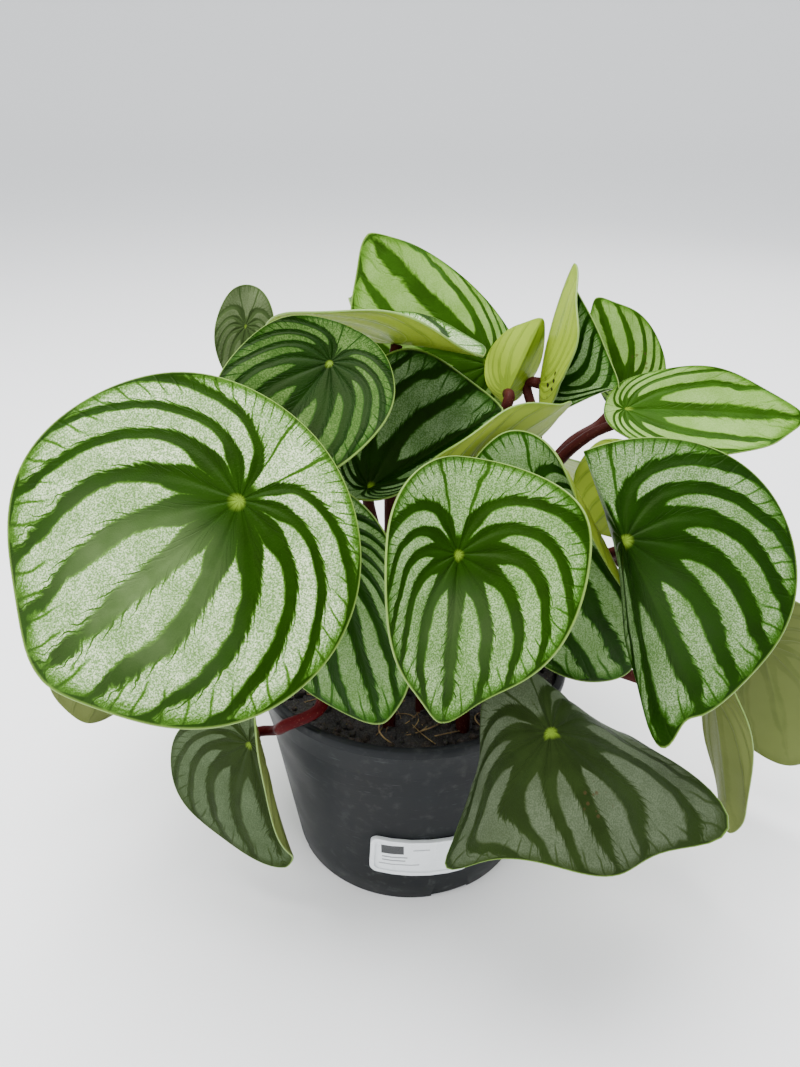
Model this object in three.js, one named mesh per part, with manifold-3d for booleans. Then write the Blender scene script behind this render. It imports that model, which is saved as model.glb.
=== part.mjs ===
// A potted watermelon peperomia: round, pointed, striped leaves, each held at its heart by its own red
// stalk, rising in a loose clump from a soil-filled nursery pot that has a small label on its wall.
// Millimetres, +Z up, -Y to the front. The origin is the centre of the pot's flat underside.
import * as THREE from "three";
import { mergeVertices } from "three/addons/utils/BufferGeometryUtils.js";
import Module from "manifold-3d";

const wasm = await Module();
wasm.setup();

// Driving dimensions
const POT_HEIGHT = 88;
const POT_RIM_RADIUS = 60;
const POT_FOOT_RADIUS = 47;
const POT_WALL = 1.4;
const POT_FLOOR = 1.8;
const LIP_HEIGHT = 4;
const LIP_OVERHANG = 1.6;
const SEAT_GAP = 0.3; // between two pieces that touch
const SOIL_LEVEL = 80;
const SOIL_LUMP = 1.6;
const BLADE_THICKNESS = 1.2;
const STALK_FOOT_RADIUS = 2.6;
const STALK_TOP_RADIUS = 1.9;
const STALK_DEPTH = 14; // how far a stalk stands down in the soil
const LABEL = { width: 37, height: 18, azimuth: -86, middle: 30, turn: -3, corner: 3, border: 1.6 };
const LABEL_PLATE = 1; // the label's thickness inside its border
const LABEL_BORDER = 0.6; // how far the border stands out from it
const LABEL_LEAN = 1.6; // how far the foot of the label stands off the wall

const BLADE_RAYS = 20;
const BLADE_RINGS = [0.3, 0.6, 0.84, 1];
const STALK_SIDES = 7;
const STALK_STEPS = 10;
const POT_SIDES = 48;

const LEAF_GREEN = 0x4f7d3c;
const STALK_RED = 0x6e2a2c;
const POT_GREY = 0x3b3e41;
const SOIL_BROWN = 0x2c211a;
const LABEL_WHITE = 0xe6e8e8;

// Each leaf. heart is where its stalk meets the blade, tip is the blade's point, face is the azimuth and
// elevation that the upper side looks to, and foot is where the stalk leaves the soil. wide is the width
// of its left and right half and behind its reach past the heart, away from the tip. Turns are in degrees
// and positive towards the upper side: left and right hold a half's turn at the midrib and what it adds
// on the way to the margin, bend is the midrib's turn from the heart to the tip, back its turn from the
// heart to the hind end, and open is the share by which the halves' turns lessen on the way to the tip.
// flat is how far from the midrib the left and right half stay flat before they turn. wave is the height
// of the margin's ripple, point how far the tip stands out, as a share of half the length, and egg how
// much narrower the left and right half are towards the tip than towards the hind end. Each of the
// lobes is the angle from the tip at which the margin reaches out, the share by which it does, and how
// wide an angle it does so over.
const LEAVES = [
  { name: "front_left", heart: [-46, -68, 184], tip: [-98, -92, 145], face: [-96, 36], foot: [-18, -22],
    wide: [48, 53], behind: 26, left: [2, -16], right: [2, -14], bend: -10, back: 6, egg: [0, -0.04],
    point: 0.1, via: [[-30, -22, 130], [-38, -38, 176]] },
  { name: "front_centre", heart: [12, -62, 164], tip: [8, -84, 122], face: [-76, 32], foot: [4, -30],
    wide: [38, 25], behind: 28, left: [6, 54], right: [10, 30], bend: -22, back: 10, egg: [0.25, 0.1],
    point: 0.16 },
  { name: "front_right", heart: [62, -50, 162], tip: [83, -80, 121], face: [-90, 30], foot: [30, -16],
    wide: [48, 22], behind: 29, left: [0, -14], right: [-80, -30], bend: -12, back: 8, open: 0.5,
    egg: [0.05, -0.3], lobes: [[-0.5, 0.3, 0.22]], shift: 5, via: [[42, -10, 120], [69, -26, 145]] },
  { name: "low_front", heart: [40, -78, 113], tip: [58, -101, 82], face: [-88, 56], foot: [18, -38],
    wide: [46, 44], behind: 27, left: [-20, -78], right: [-18, -80], bend: -30, back: -30,
    egg: [0, -0.3], point: 0.34, open: 0.75, drop: 0.5,
    lobes: [[0.52, 0.6, 0.3], [0.47, 0.26, 0.14], [-0.88, 0.14, 0.3], [-0.82, 0.16, 0.14]] },
  { name: "between_front", heart: [-23, -46, 156], tip: [-10, -66, 106], face: [-112, 26], foot: [-8, -38],
    wide: [21, 34], behind: 20, left: [8, 14], right: [0, -14], bend: -8, back: 8 },
  { name: "low_left", heart: [-57, -40, 74], tip: [-47, -48, 20], face: [-104, 16], foot: [-32, -24],
    wide: [13, 37], behind: 15, left: [0, 120], right: [0, -12], bend: -8, back: -10, egg: [0, 0.1],
    via: [[-31, -46, 94.5], [-43.2, -46.5, 87.5], [-48, -37, 77]] },
  { name: "back_left_small", heart: [-61, 45, 199], tip: [-64, 38, 178], face: [-86, 24], foot: [-22, 16],
    wide: [11, 11], behind: 15, left: [4, 10], right: [4, 10], bend: -6, back: 4 },
  { name: "upper_left", heart: [-24, -30, 209], tip: [-48, -62, 187], face: [-84, 46], foot: [-12, -10],
    wide: [26, 23], behind: 13, left: [10, 14], right: [6, 8], bend: 6, back: 10,
    via: [[-28, -8, 160], [-30, -18, 190]] },
  { name: "upper_flat", heart: [-5, 4, 205], tip: [-50, 17, 202], face: [94, 64], foot: [-8, 4],
    wide: [32, 24], behind: 29, left: [2, 12], right: [22, 18], bend: -8, back: -10 },
  { name: "top_back", heart: [29, 36, 187], tip: [-16, 54, 230], face: [-104, 32], foot: [8, 14],
    wide: [36, 17], behind: 16, left: [0, -8], right: [-6, -30], bend: -8, back: -4, point: 0.14 },
  { name: "middle", heart: [-14, -22, 165], tip: [30, 0, 184], face: [-100, 50], foot: [-3, -19],
    wide: [36, 11], behind: 9, left: [14, 44], right: [20, 20], bend: 16, back: 24, egg: [-0.1, 0] },
  { name: "middle_edge", heart: [18, -18, 167], tip: [53, -2, 186], face: [104, 46], foot: [9, -9],
    wide: [22, 24], behind: 20, left: [6, 14], right: [6, 20], bend: 14, back: 10, point: 0.14 },
  { name: "behind_centre", heart: [40, -31, 161], tip: [74, -36, 101], face: [-100, 34], foot: [18, -20],
    wide: [19.5, 30], behind: 29, left: [4, 165], right: [4, 14], flat: [9, 0], bend: -16, back: 10 },
  { name: "young_cupped", heart: [34, 20, 182], tip: [45, 26, 207], face: [80, 14], foot: [16, 3],
    wide: [14, 14], behind: 4, left: [44, 20], right: [30, 20], bend: 10, back: 10, point: 0.16,
    via: [[25, 17, 150]] },
  { name: "upright_folded", heart: [46, 22, 185], tip: [56, 34, 224], face: [-54, 8], foot: [22, 12],
    wide: [22, 23], behind: 13, left: [64, 6], right: [62, 6], bend: 20, back: 30, egg: [0.05, 0.75],
    point: 0.14, via: [[45, 16, 166]] },
  { name: "right_back", heart: [83, 48, 174], tip: [71, 60, 206], face: [-96, 26], foot: [26, 22],
    wide: [14, 18], behind: 12, left: [-40, -30], right: [0, -8], bend: -8, back: -6, point: 0.14,
    shift: -4, via: [[57, 30, 155], [78, 55, 158]] },
  { name: "right_flat", heart: [72, 4, 182], tip: [131, 0, 180], face: [-96, 52], foot: [30, 2],
    wide: [16, 19], behind: 7, left: [6, 8], right: [6, 8], bend: -12, back: 8, point: 0.14,
    via: [[50, 10, 156], [62, 8, 171]] },
  { name: "right_inner", heart: [76, -8, 161], tip: [60, -14, 146], face: [70, 18], foot: [38, 10],
    wide: [20, 20], behind: 10, left: [4, 10], right: [4, 10], bend: -10, back: 8, point: 0.1,
    via: [[68, 2, 120], [74, -20, 142]] },
  { name: "low_right", heart: [138, 6, 85], tip: [157, -6, 30], face: [60, 14], foot: [42, -2],
    wide: [34, 32], behind: 22, left: [0, 14], right: [0, 14], bend: -14, back: 8 },
  { name: "low_right_front", heart: [110, -24, 85], tip: [120, -42, 31], face: [24, 12], foot: [40, -23],
    wide: [13, 13], behind: 16, left: [6, 12], right: [6, 12], bend: -8, back: 8 },
  { name: "low_left_back", heart: [-102, -4, 95], tip: [-124, -18, 64], face: [110, 30], foot: [-38, -6],
    wide: [30, 30], behind: 18, left: [4, 10], right: [4, 10], bend: -12, back: 8 },
  { name: "left_side", heart: [-84, 16, 142], tip: [-124, 26, 118], face: [175, 50], foot: [-33, 8],
    wide: [28, 28], behind: 20, left: [4, 8], right: [4, 8], bend: -16, back: 8 },
  { name: "back_left", heart: [-62, 62, 146], tip: [-92, 94, 112], face: [130, 46], foot: [-22, 28],
    wide: [32, 30], behind: 24, left: [4, -8], right: [4, -8], bend: -16, back: 8 },
  { name: "back_centre", heart: [-4, 84, 146], tip: [-10, 122, 110], face: [92, 46], foot: [-4, 36],
    wide: [34, 34], behind: 20, left: [4, -8], right: [4, -8], bend: -16, back: 8 },
  { name: "back_low_left", heart: [-44, 84, 96], tip: [-58, 108, 54], face: [116, 30], foot: [-16, 42],
    wide: [28, 28], behind: 20, left: [4, -8], right: [4, -8], bend: -14, back: 8 },
  { name: "back_right", heart: [52, 74, 136], tip: [80, 108, 102], face: [52, 44], foot: [18, 31],
    wide: [32, 32], behind: 24, left: [4, -8], right: [4, -8], bend: -16, back: 8 },
  { name: "back_low_right", heart: [30, 96, 92], tip: [40, 122, 54], face: [76, 34], foot: [10, 44],
    wide: [26, 26], behind: 18, left: [4, -8], right: [4, -8], bend: -14, back: 8 },
  { name: "back_top", heart: [2, 66, 186], tip: [-22, 92, 200], face: [110, 66], foot: [-6, 24],
    wide: [24, 24], behind: 16, left: [4, 8], right: [4, 8], bend: -12, back: 8, point: 0.14 },
];

const radians = THREE.MathUtils.degToRad;

// A closed geometry from a list of points and triangles.
function geometryOf(points, triangles) {
  const made = new THREE.BufferGeometry().setFromPoints(points);
  made.setIndex(triangles);
  return made;
}

// A geometry as a solid that can be cut.
function solidOf(geometry) {
  const bare = geometry.clone();
  bare.deleteAttribute("normal");
  bare.deleteAttribute("uv");
  const merged = mergeVertices(bare, 1e-4);
  return new wasm.Manifold(
    new wasm.Mesh({
      numProp: 3,
      vertProperties: merged.attributes.position.array,
      triVerts: new Uint32Array(merged.index.array),
    }),
  );
}

function geometryFrom(solid) {
  const { vertProperties, triVerts, numProp } = solid.getMesh();
  const made = new THREE.BufferGeometry();
  made.setAttribute("position", new THREE.BufferAttribute(new Float32Array(vertProperties), numProp));
  made.setIndex(new THREE.BufferAttribute(new Uint32Array(triVerts), 1));
  return made;
}

// The blade's flat outline about its heart, for the angle round the leaf: [along to the tip, to the left].
const TIP_SPREAD = 0.3;
const EGG = [0.05, 0.05];
function outline(leaf, reach, angle) {
  const middle = (reach - leaf.behind) / 2;
  const half = (reach + leaf.behind) / 2;
  const point = leaf.point ?? 0.06;
  const peak = point * (Math.exp(-((angle / TIP_SPREAD) ** 2)) - 0.5);
  const side = angle > 0 ? 0 : 1;
  const swell = (leaf.lobes ?? []).reduce((sum, [middleAngle, reachOut, spread]) => (
    sum + reachOut * Math.exp(-(((angle - middleAngle) / spread) ** 2))
  ), 1);
  return [
    swell * (middle + half * (Math.cos(angle) * (1 - point / 2) + peak)),
    swell * leaf.wide[side] * Math.sin(angle) * (1 - (leaf.egg ?? EGG)[side] * Math.cos(angle)),
  ];
}

// The frame of a blade: the directions along its midrib, to its left and out of its upper side at the
// heart, and the length of the midrib, such that the bent midrib ends at the tip.
function bladeFrame(leaf) {
  const heart = new THREE.Vector3(...leaf.heart);
  const chord = new THREE.Vector3(...leaf.tip).sub(heart);
  const length = chord.length();
  chord.normalize();
  const [azimuth, elevation] = leaf.face.map(radians);
  const face = new THREE.Vector3(
    Math.cos(azimuth) * Math.cos(elevation),
    Math.sin(azimuth) * Math.cos(elevation),
    Math.sin(elevation),
  );
  const up = face.addScaledVector(chord, -face.dot(chord)).normalize();
  const half = radians(leaf.bend) / 2;
  return {
    heart,
    along: chord.clone().multiplyScalar(Math.cos(half)).addScaledVector(up, -Math.sin(half)),
    left: new THREE.Vector3().crossVectors(up, chord),
    up: up.clone().multiplyScalar(Math.cos(half)).addScaledVector(chord, Math.sin(half)),
    reach: half === 0 ? length : (length * half) / Math.sin(half),
  };
}

// How far a line goes on and up when it starts at a slope and turns steadily over a distance.
function steadyTurn(start, rate, distance) {
  if (Math.abs(rate * distance) < 1e-6) return [distance * Math.cos(start), distance * Math.sin(start)];
  const end = start + rate * distance;
  return [(Math.sin(end) - Math.sin(start)) / rate, (Math.cos(start) - Math.cos(end)) / rate];
}

// A point of the bent blade's middle surface and its normal, for a share of the way out to the margin.
// On the midrib, where the two halves meet at an angle, the normal is the line between theirs, longer
// by their mitre.
const RIPPLES = 5;
const ON_MIDRIB = 1e-9;
const LEAST_MITRE = 0.6;
function bladePoint(leaf, frame, angle, share) {
  const [edgeAlong, edgeLeft] = outline(leaf, frame.reach, angle);
  const [u, v] = [edgeAlong * share, edgeLeft * share];
  const side = Math.abs(v) < ON_MIDRIB ? 0 : Math.sign(v);
  const spread = 1 - ((leaf.open ?? 0) * u) / frame.reach;
  const hand = side > 0 ? 0 : 1;
  const [fold, roll] = [leaf.left, leaf.right][hand].map((turn) => radians(turn) * spread);
  const flat = leaf.flat?.[hand] ?? 0;
  const curved = Math.max(0, Math.abs(v) - flat);
  const straight = Math.abs(v) - curved;
  const sideRate = roll / (leaf.wide[hand] - flat);
  const [onward, risen] = steadyTurn(fold, sideRate, curved);
  const across = onward + straight * Math.cos(fold);
  const raised = risen + straight * Math.sin(fold);
  const slope = fold + sideRate * curved;
  const ribRate = u > 0 ? radians(leaf.bend) / frame.reach : radians(leaf.back) / leaf.behind;
  const turn = ribRate * u;
  const [on, lifted] = steadyTurn(0, ribRate, u);
  const normal = frame.up.clone().multiplyScalar(Math.cos(turn))
    .addScaledVector(frame.along, -Math.sin(turn));
  const ripple = (leaf.wave ?? 1) * share ** 4 * Math.sin(RIPPLES * angle + leaf.behind);
  const point = frame.heart.clone()
    .addScaledVector(frame.along, on)
    .addScaledVector(frame.up, lifted)
    .addScaledVector(frame.left, across * side)
    .addScaledVector(normal, raised + ripple);
  const lean = (turned, way) => normal.clone().multiplyScalar(Math.cos(turned))
    .addScaledVector(frame.left, -Math.sin(turned) * way);
  if (side !== 0) return { point, outward: lean(slope, side) };
  const leftFace = lean(radians(leaf.left[0]) * spread, 1);
  const outward = lean(radians(leaf.right[0]) * spread, -1).add(leftFace).normalize();
  return { point, outward: outward.divideScalar(Math.max(LEAST_MITRE, outward.dot(leftFace))) };
}

// The angles round a leaf at which its outline is sampled, closer together at the tip.
function rayAngle(ray, rays) {
  const share = (2 * ray) / rays - 1;
  return Math.PI * share * (0.7 + 0.3 * Math.abs(share));
}

// One leaf blade: two faces split alike, a blade's thickness apart, joined round the margin.
function bladeGeometry(leaf, frame) {
  const points = [];
  const triangles = [];
  const layer = 1 + BLADE_RINGS.length * BLADE_RAYS;
  for (const sign of [1, -1]) {
    const centre = bladePoint(leaf, frame, 0, 0);
    points.push(centre.point.addScaledVector(centre.outward, (sign * BLADE_THICKNESS) / 2));
    for (const share of BLADE_RINGS) {
      for (let ray = 0; ray < BLADE_RAYS; ray++) {
        const at = bladePoint(leaf, frame, rayAngle(ray, BLADE_RAYS), share);
        const thickness = BLADE_THICKNESS * (1 - 0.25 * share);
        points.push(at.point.addScaledVector(at.outward, (sign * thickness) / 2));
      }
    }
  }
  const vertex = (side, ring, ray) => side * layer + 1 + ring * BLADE_RAYS + (ray % BLADE_RAYS);
  const addFace = (side, a, b, c) => triangles.push(...(side === 0 ? [a, b, c] : [a, c, b]));
  for (const side of [0, 1]) {
    for (let ray = 0; ray < BLADE_RAYS; ray++) {
      addFace(side, side * layer, vertex(side, 0, ray), vertex(side, 0, ray + 1));
      for (let ring = 0; ring < BLADE_RINGS.length - 1; ring++) {
        const [a, b] = [vertex(side, ring, ray), vertex(side, ring, ray + 1)];
        const [c, d] = [vertex(side, ring + 1, ray), vertex(side, ring + 1, ray + 1)];
        addFace(side, a, c, d);
        addFace(side, a, d, b);
      }
    }
  }
  const rim = BLADE_RINGS.length - 1;
  for (let ray = 0; ray < BLADE_RAYS; ray++) {
    const [a, b] = [vertex(0, rim, ray), vertex(0, rim, ray + 1)];
    const [c, d] = [vertex(1, rim, ray), vertex(1, rim, ray + 1)];
    triangles.push(a, c, d, a, d, b);
  }
  return geometryOf(points, triangles);
}

// A leaf's stalk: straight up out of its hole, then past any places on its way to the blade's underside,
// where it stands square to the blade. shift is how far beside the midrib, to the left, it meets the
// blade, and drop how much lower than the others it ends under a blade that curves away from it.
const SQUARE_LENGTH = 6;
const FIRST_RISE = 12;
function stalkGeometry(leaf, frame) {
  const [x, y] = leaf.foot;
  const foot = new THREE.Vector3(x, y, SOIL_LEVEL + SOIL_LUMP);
  const falls = [0, 1].map((side) => -[leaf.left, leaf.right][side][0]);
  const fall = leaf.shift ? 0 : Math.max(2, ...falls);
  const gap = SEAT_GAP + (leaf.drop ?? 0);
  const clearance = BLADE_THICKNESS / 2 + gap + STALK_TOP_RADIUS * Math.tan(radians(fall));
  const top = frame.heart.clone().addScaledVector(frame.up, -clearance)
    .addScaledVector(frame.left, leaf.shift ?? 0);
  const span = foot.distanceTo(top);
  const rise = foot.clone().setZ(foot.z + (leaf.via ? FIRST_RISE : 0.3 * span));
  const below = top.clone().addScaledVector(frame.up, -SQUARE_LENGTH);
  const via = (leaf.via ?? []).map((place) => new THREE.Vector3(...place));
  const path = new THREE.CurvePath();
  path.add(new THREE.LineCurve3(foot.clone().setZ(SOIL_LEVEL - STALK_DEPTH), foot));
  path.add(new THREE.CatmullRomCurve3([foot, rise, ...via, below, top]));
  return tubeAlong(path);
}

// A tapering round tube with flat closed ends along a path.
function tubeAlong(path) {
  const frames = path.computeFrenetFrames(STALK_STEPS);
  const points = [];
  const triangles = [];
  for (let step = 0; step <= STALK_STEPS; step++) {
    const share = step / STALK_STEPS;
    const centre = path.getPointAt(share);
    const radius = THREE.MathUtils.lerp(STALK_FOOT_RADIUS, STALK_TOP_RADIUS, share);
    for (let side = 0; side < STALK_SIDES; side++) {
      const angle = (2 * Math.PI * side) / STALK_SIDES;
      points.push(centre.clone()
        .addScaledVector(frames.normals[step], radius * Math.cos(angle))
        .addScaledVector(frames.binormals[step], radius * Math.sin(angle)));
    }
  }
  const vertex = (step, side) => step * STALK_SIDES + (side % STALK_SIDES);
  for (let side = 0; side < STALK_SIDES; side++) {
    for (let step = 0; step < STALK_STEPS; step++) {
      const [a, b] = [vertex(step, side), vertex(step, side + 1)];
      const [c, d] = [vertex(step + 1, side), vertex(step + 1, side + 1)];
      triangles.push(a, b, d, a, d, c);
    }
    if (side > 1) {
      triangles.push(vertex(0, 0), vertex(0, side), vertex(0, side - 1));
      triangles.push(vertex(STALK_STEPS, 0), vertex(STALK_STEPS, side - 1), vertex(STALK_STEPS, side));
    }
  }
  return geometryOf(points, triangles);
}

// The outer radius of the pot's wall at a height.
const WALL_TOP_RADIUS = POT_RIM_RADIUS - LIP_OVERHANG;
const LIP_FOOT = POT_HEIGHT - LIP_HEIGHT;
function wallRadius(height) {
  return THREE.MathUtils.mapLinear(height, 0, LIP_FOOT, POT_FOOT_RADIUS, WALL_TOP_RADIUS);
}

// The pot: one thin turned shell with a lip, round drain holes and four drain slots at its foot.
function potGeometry() {
  const inner = WALL_TOP_RADIUS - POT_WALL;
  const floorInner = wallRadius(POT_FLOOR) - POT_WALL;
  const profile = [
    [0, 0], [POT_FOOT_RADIUS - 1.5, 0], [wallRadius(1.5), 1.5], [WALL_TOP_RADIUS, LIP_FOOT],
    [POT_RIM_RADIUS, LIP_FOOT + 0.8], [POT_RIM_RADIUS, POT_HEIGHT - 0.8],
    [POT_RIM_RADIUS - 0.6, POT_HEIGHT], [inner + 0.6, POT_HEIGHT], [inner, POT_HEIGHT - 0.6],
    [inner, LIP_FOOT], [floorInner, POT_FLOOR], [0, POT_FLOOR],
  ].map(([r, z]) => new THREE.Vector2(r, z));
  const shell = new THREE.LatheGeometry(profile, POT_SIDES).rotateX(Math.PI / 2);
  let pot = solidOf(shell);
  const drains = { count: 4, radius: 4, ring: 26 };
  const slots = { count: 4, width: 15, height: 2.4, inward: 7, azimuth: -71 };
  for (let i = 0; i < drains.count; i++) {
    const angle = (2 * Math.PI * (i + 0.5)) / drains.count;
    const drill = new THREE.CylinderGeometry(drains.radius, drains.radius, 10, 12).rotateX(Math.PI / 2)
      .translate(drains.ring * Math.cos(angle), drains.ring * Math.sin(angle), 0);
    pot = pot.subtract(solidOf(drill));
  }
  for (let i = 0; i < slots.count; i++) {
    const angle = radians(slots.azimuth) + (2 * Math.PI * i) / slots.count;
    const cutter = new THREE.BoxGeometry(2 * slots.inward, slots.width, 2 * slots.height)
      .translate(POT_FOOT_RADIUS, 0, 0)
      .rotateZ(angle);
    pot = pot.subtract(solidOf(cutter));
  }
  return geometryFrom(pot);
}

// The soil's lumpy surface above its level, at a place.
function lump(x, y) {
  const across = Math.sin(x / 5.3 + 1.7 * Math.sin(y / 9.1));
  const deep = Math.sin(y / 4.7 + 2 * Math.sin(x / 7.9));
  return SOIL_LUMP * (across + deep) / 2;
}

// The soil: a plug that fills the pot, with a plain hole for each stalk.
function soilGeometry() {
  const bottom = POT_FLOOR + SEAT_GAP;
  const clearance = POT_WALL + SEAT_GAP + 0.1;
  const rings = [12, 24, 34, 44, 51];
  const rim = wallRadius(SOIL_LEVEL) - clearance;
  const profile = [[0, bottom], [wallRadius(bottom) - clearance, bottom], [rim, SOIL_LEVEL - 2]]
    .concat(rings.reverse().map((r) => [r, SOIL_LEVEL]), [[0, SOIL_LEVEL]])
    .map(([r, z]) => new THREE.Vector2(r, z));
  const plug = new THREE.LatheGeometry(profile, 36).rotateX(Math.PI / 2);
  const place = plug.attributes.position;
  for (let i = 0; i < place.count; i++) {
    if (place.getZ(i) > SOIL_LEVEL - 1) place.setZ(i, SOIL_LEVEL + lump(place.getX(i), place.getY(i)));
  }
  let soil = solidOf(plug);
  const holeRadius = STALK_FOOT_RADIUS + SEAT_GAP;
  for (const { foot: [x, y] } of LEAVES) {
    const depth = STALK_DEPTH + SEAT_GAP;
    const hole = new THREE.CylinderGeometry(holeRadius, holeRadius, 2 * depth, 10).rotateX(Math.PI / 2)
      .translate(x, y, SOIL_LEVEL);
    soil = soil.subtract(solidOf(hole));
  }
  return geometryFrom(soil);
}

// A solid ring between two radii that lean alike, for the label to be cut from.
function leaningRing(inner, outer) {
  const [low, high] = [LABEL.middle - LABEL.height, LABEL.middle + LABEL.height];
  const lean = (LABEL_LEAN * (high - low)) / LABEL.height;
  const wallLean = wallRadius(high) - wallRadius(low) - lean;
  const top = wallRadius(LABEL.middle + LABEL.height / 2) + (wallLean * LABEL.height) / (2 * (high - low));
  const profile = [
    [top - wallLean + inner, low], [top - wallLean + outer, low],
    [top + outer, high], [top + inner, high], [top - wallLean + inner, low],
  ].map(([r, z]) => new THREE.Vector2(r, z));
  return solidOf(new THREE.LatheGeometry(profile, POT_SIDES).rotateX(Math.PI / 2));
}

// A bar of the label's outline, less a margin, that runs out through the pot's wall where the label is.
function labelBar(margin) {
  const [w, h] = [LABEL.width / 2 - margin, LABEL.height / 2 - margin];
  const corner = LABEL.corner - margin / 2;
  const shape = new THREE.Shape()
    .moveTo(-w + corner, -h)
    .absarc(w - corner, -h + corner, corner, -Math.PI / 2, 0)
    .absarc(w - corner, h - corner, corner, 0, Math.PI / 2)
    .absarc(-w + corner, h - corner, corner, Math.PI / 2, Math.PI)
    .absarc(-w + corner, -h + corner, corner, Math.PI, 1.5 * Math.PI);
  const extrusion = { depth: 2 * POT_RIM_RADIUS, bevelEnabled: false, curveSegments: 4 };
  const bar = new THREE.ExtrudeGeometry(shape, extrusion)
    .rotateZ(radians(LABEL.turn))
    .rotateX(Math.PI / 2)
    .rotateZ(radians(LABEL.azimuth + 90))
    .translate(0, 0, LABEL.middle);
  return solidOf(bar);
}

// The label: a thin plate with round corners and a raised border, bent round the pot's wall.
function labelGeometry() {
  const plate = leaningRing(SEAT_GAP, SEAT_GAP + LABEL_PLATE + LABEL_BORDER).intersect(labelBar(0));
  const recess = leaningRing(SEAT_GAP + LABEL_PLATE, POT_RIM_RADIUS).intersect(labelBar(LABEL.border));
  return geometryFrom(plate.subtract(recess));
}

function mesh(name, geometry, color, roughness) {
  const made = new THREE.Mesh(geometry, new THREE.MeshStandardMaterial({ color, roughness, metalness: 0 }));
  made.name = name;
  return made;
}

const peperomia = new THREE.Group();
peperomia.add(mesh("pot", potGeometry(), POT_GREY, 0.6));
peperomia.add(mesh("soil", soilGeometry(), SOIL_BROWN, 1));
peperomia.add(mesh("label", labelGeometry(), LABEL_WHITE, 0.35));
for (const leaf of LEAVES) {
  const frame = bladeFrame(leaf);
  peperomia.add(mesh(`blade_${leaf.name}`, bladeGeometry(leaf, frame), LEAF_GREEN, 0.45));
  peperomia.add(mesh(`stalk_${leaf.name}`, stalkGeometry(leaf, frame), STALK_RED, 0.5));
}

export default peperomia;
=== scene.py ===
"""A potted watermelon peperomia: striped blades on red stalks, soil, a nursery pot and its blank label."""

import math

import bpy
import numpy as np
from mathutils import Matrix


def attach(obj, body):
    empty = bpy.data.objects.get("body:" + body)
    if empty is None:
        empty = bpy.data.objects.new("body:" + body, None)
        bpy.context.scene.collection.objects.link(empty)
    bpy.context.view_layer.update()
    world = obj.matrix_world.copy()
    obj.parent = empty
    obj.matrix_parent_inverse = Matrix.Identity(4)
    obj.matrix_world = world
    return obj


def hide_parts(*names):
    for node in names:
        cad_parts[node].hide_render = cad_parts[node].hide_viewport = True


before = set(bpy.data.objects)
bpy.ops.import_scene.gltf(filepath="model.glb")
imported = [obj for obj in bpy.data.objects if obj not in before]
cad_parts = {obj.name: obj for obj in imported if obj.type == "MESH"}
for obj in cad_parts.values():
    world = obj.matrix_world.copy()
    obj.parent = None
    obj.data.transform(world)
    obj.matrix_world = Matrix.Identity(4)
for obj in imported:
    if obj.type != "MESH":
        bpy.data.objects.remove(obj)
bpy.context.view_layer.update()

MM = 0.001

# The pot and its soil, in millimetres
POT_HEIGHT = 88
POT_RIM_RADIUS = 60
POT_FOOT_RADIUS = 47
POT_WALL = 1.4
POT_FLOOR = 1.8
LIP_HEIGHT = 4
LIP_OVERHANG = 1.6
WALL_TOP_RADIUS = POT_RIM_RADIUS - LIP_OVERHANG
LIP_FOOT = POT_HEIGHT - LIP_HEIGHT
SOIL_LEVEL = 80
SOIL_LUMP = 1.6
SOIL_GAP = 0.4
DRAIN_HOLES = 4
DRAIN_RADIUS = 4
DRAIN_RING_RADIUS = 26
FOOT_SLOT = (14, 15, 4.8)
FOOT_SLOT_TURN = -71
CRUMBS = 620
CRUMB_REACH = 52
LARGEST_CRUMB = 2.1
FIBRES = 110
FIBRE_REACH = 44
FIBRE_LENGTHS = (5, 15)
FIBRE_RADII = (0.12, 0.32)

# The label's print on the pot's wall, in millimetres, and its turn in degrees
LABEL_RADIUS = 52
LABEL_WIDTH = 37
LABEL_LOW = 21
LABEL_HEIGHT = 18
LABEL_TURN = 4

# The blades and stalks, in millimetres
BLADE_THICKNESS = 1.1
SEAT_GAP = 0.3
STALK_FOOT_RADIUS = 2.6
STALK_TOP_RADIUS = 1.9
STALK_DEPTH = 14
SQUARE_LENGTH = 6
FIRST_RISE = 12
MARGIN_RIPPLES = 5
VEINS = 11.3
VEIN_BOW = 2.0
SMALL_LEAF = 12
SMALL_LEAF_THINNER = 0.85

# The shape of a leaf where its row gives no other, in degrees, millimetres and shares
USUAL_SHAPE = {
    "back": 8, "open": 0, "flat": (0, 0), "point": 0.06, "egg": (0.05, 0.05), "lobes": (),
    "shift": 0, "drop": 0, "via": (),
}


def new_leaf(name, heart, tip, face, foot, wide, behind, both=None, **shape):
    """A leaf's measures, where both stands for left and right alike.

    heart is where the stalk meets the blade, tip the blade's point, face the azimuth and elevation that its
    upper side looks to, and foot where the stalk leaves the soil. wide is the width of the left and right
    half and behind the reach past the heart. Turns are in degrees and positive towards the upper side: left
    and right hold a half's turn at the midrib and what it adds on the way to the margin, bend is the
    midrib's turn from the heart to the tip, back its turn to the hind end, and open the share by which the
    halves' turns lessen towards the tip. flat is how far from the midrib each half stays flat, point how
    far the tip stands out, and egg how much narrower each half is towards the tip. Each of the lobes is the
    angle, the reach and the spread of a corner. shift is how far beside the midrib the stalk meets the
    blade, drop how much lower it ends, and via holds the places that it passes.
    """
    own = dict(name=name, heart=heart, tip=tip, face=face, foot=foot, wide=wide, behind=behind)
    return {**USUAL_SHAPE, "left": both, "right": both, **own, **shape}


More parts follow.
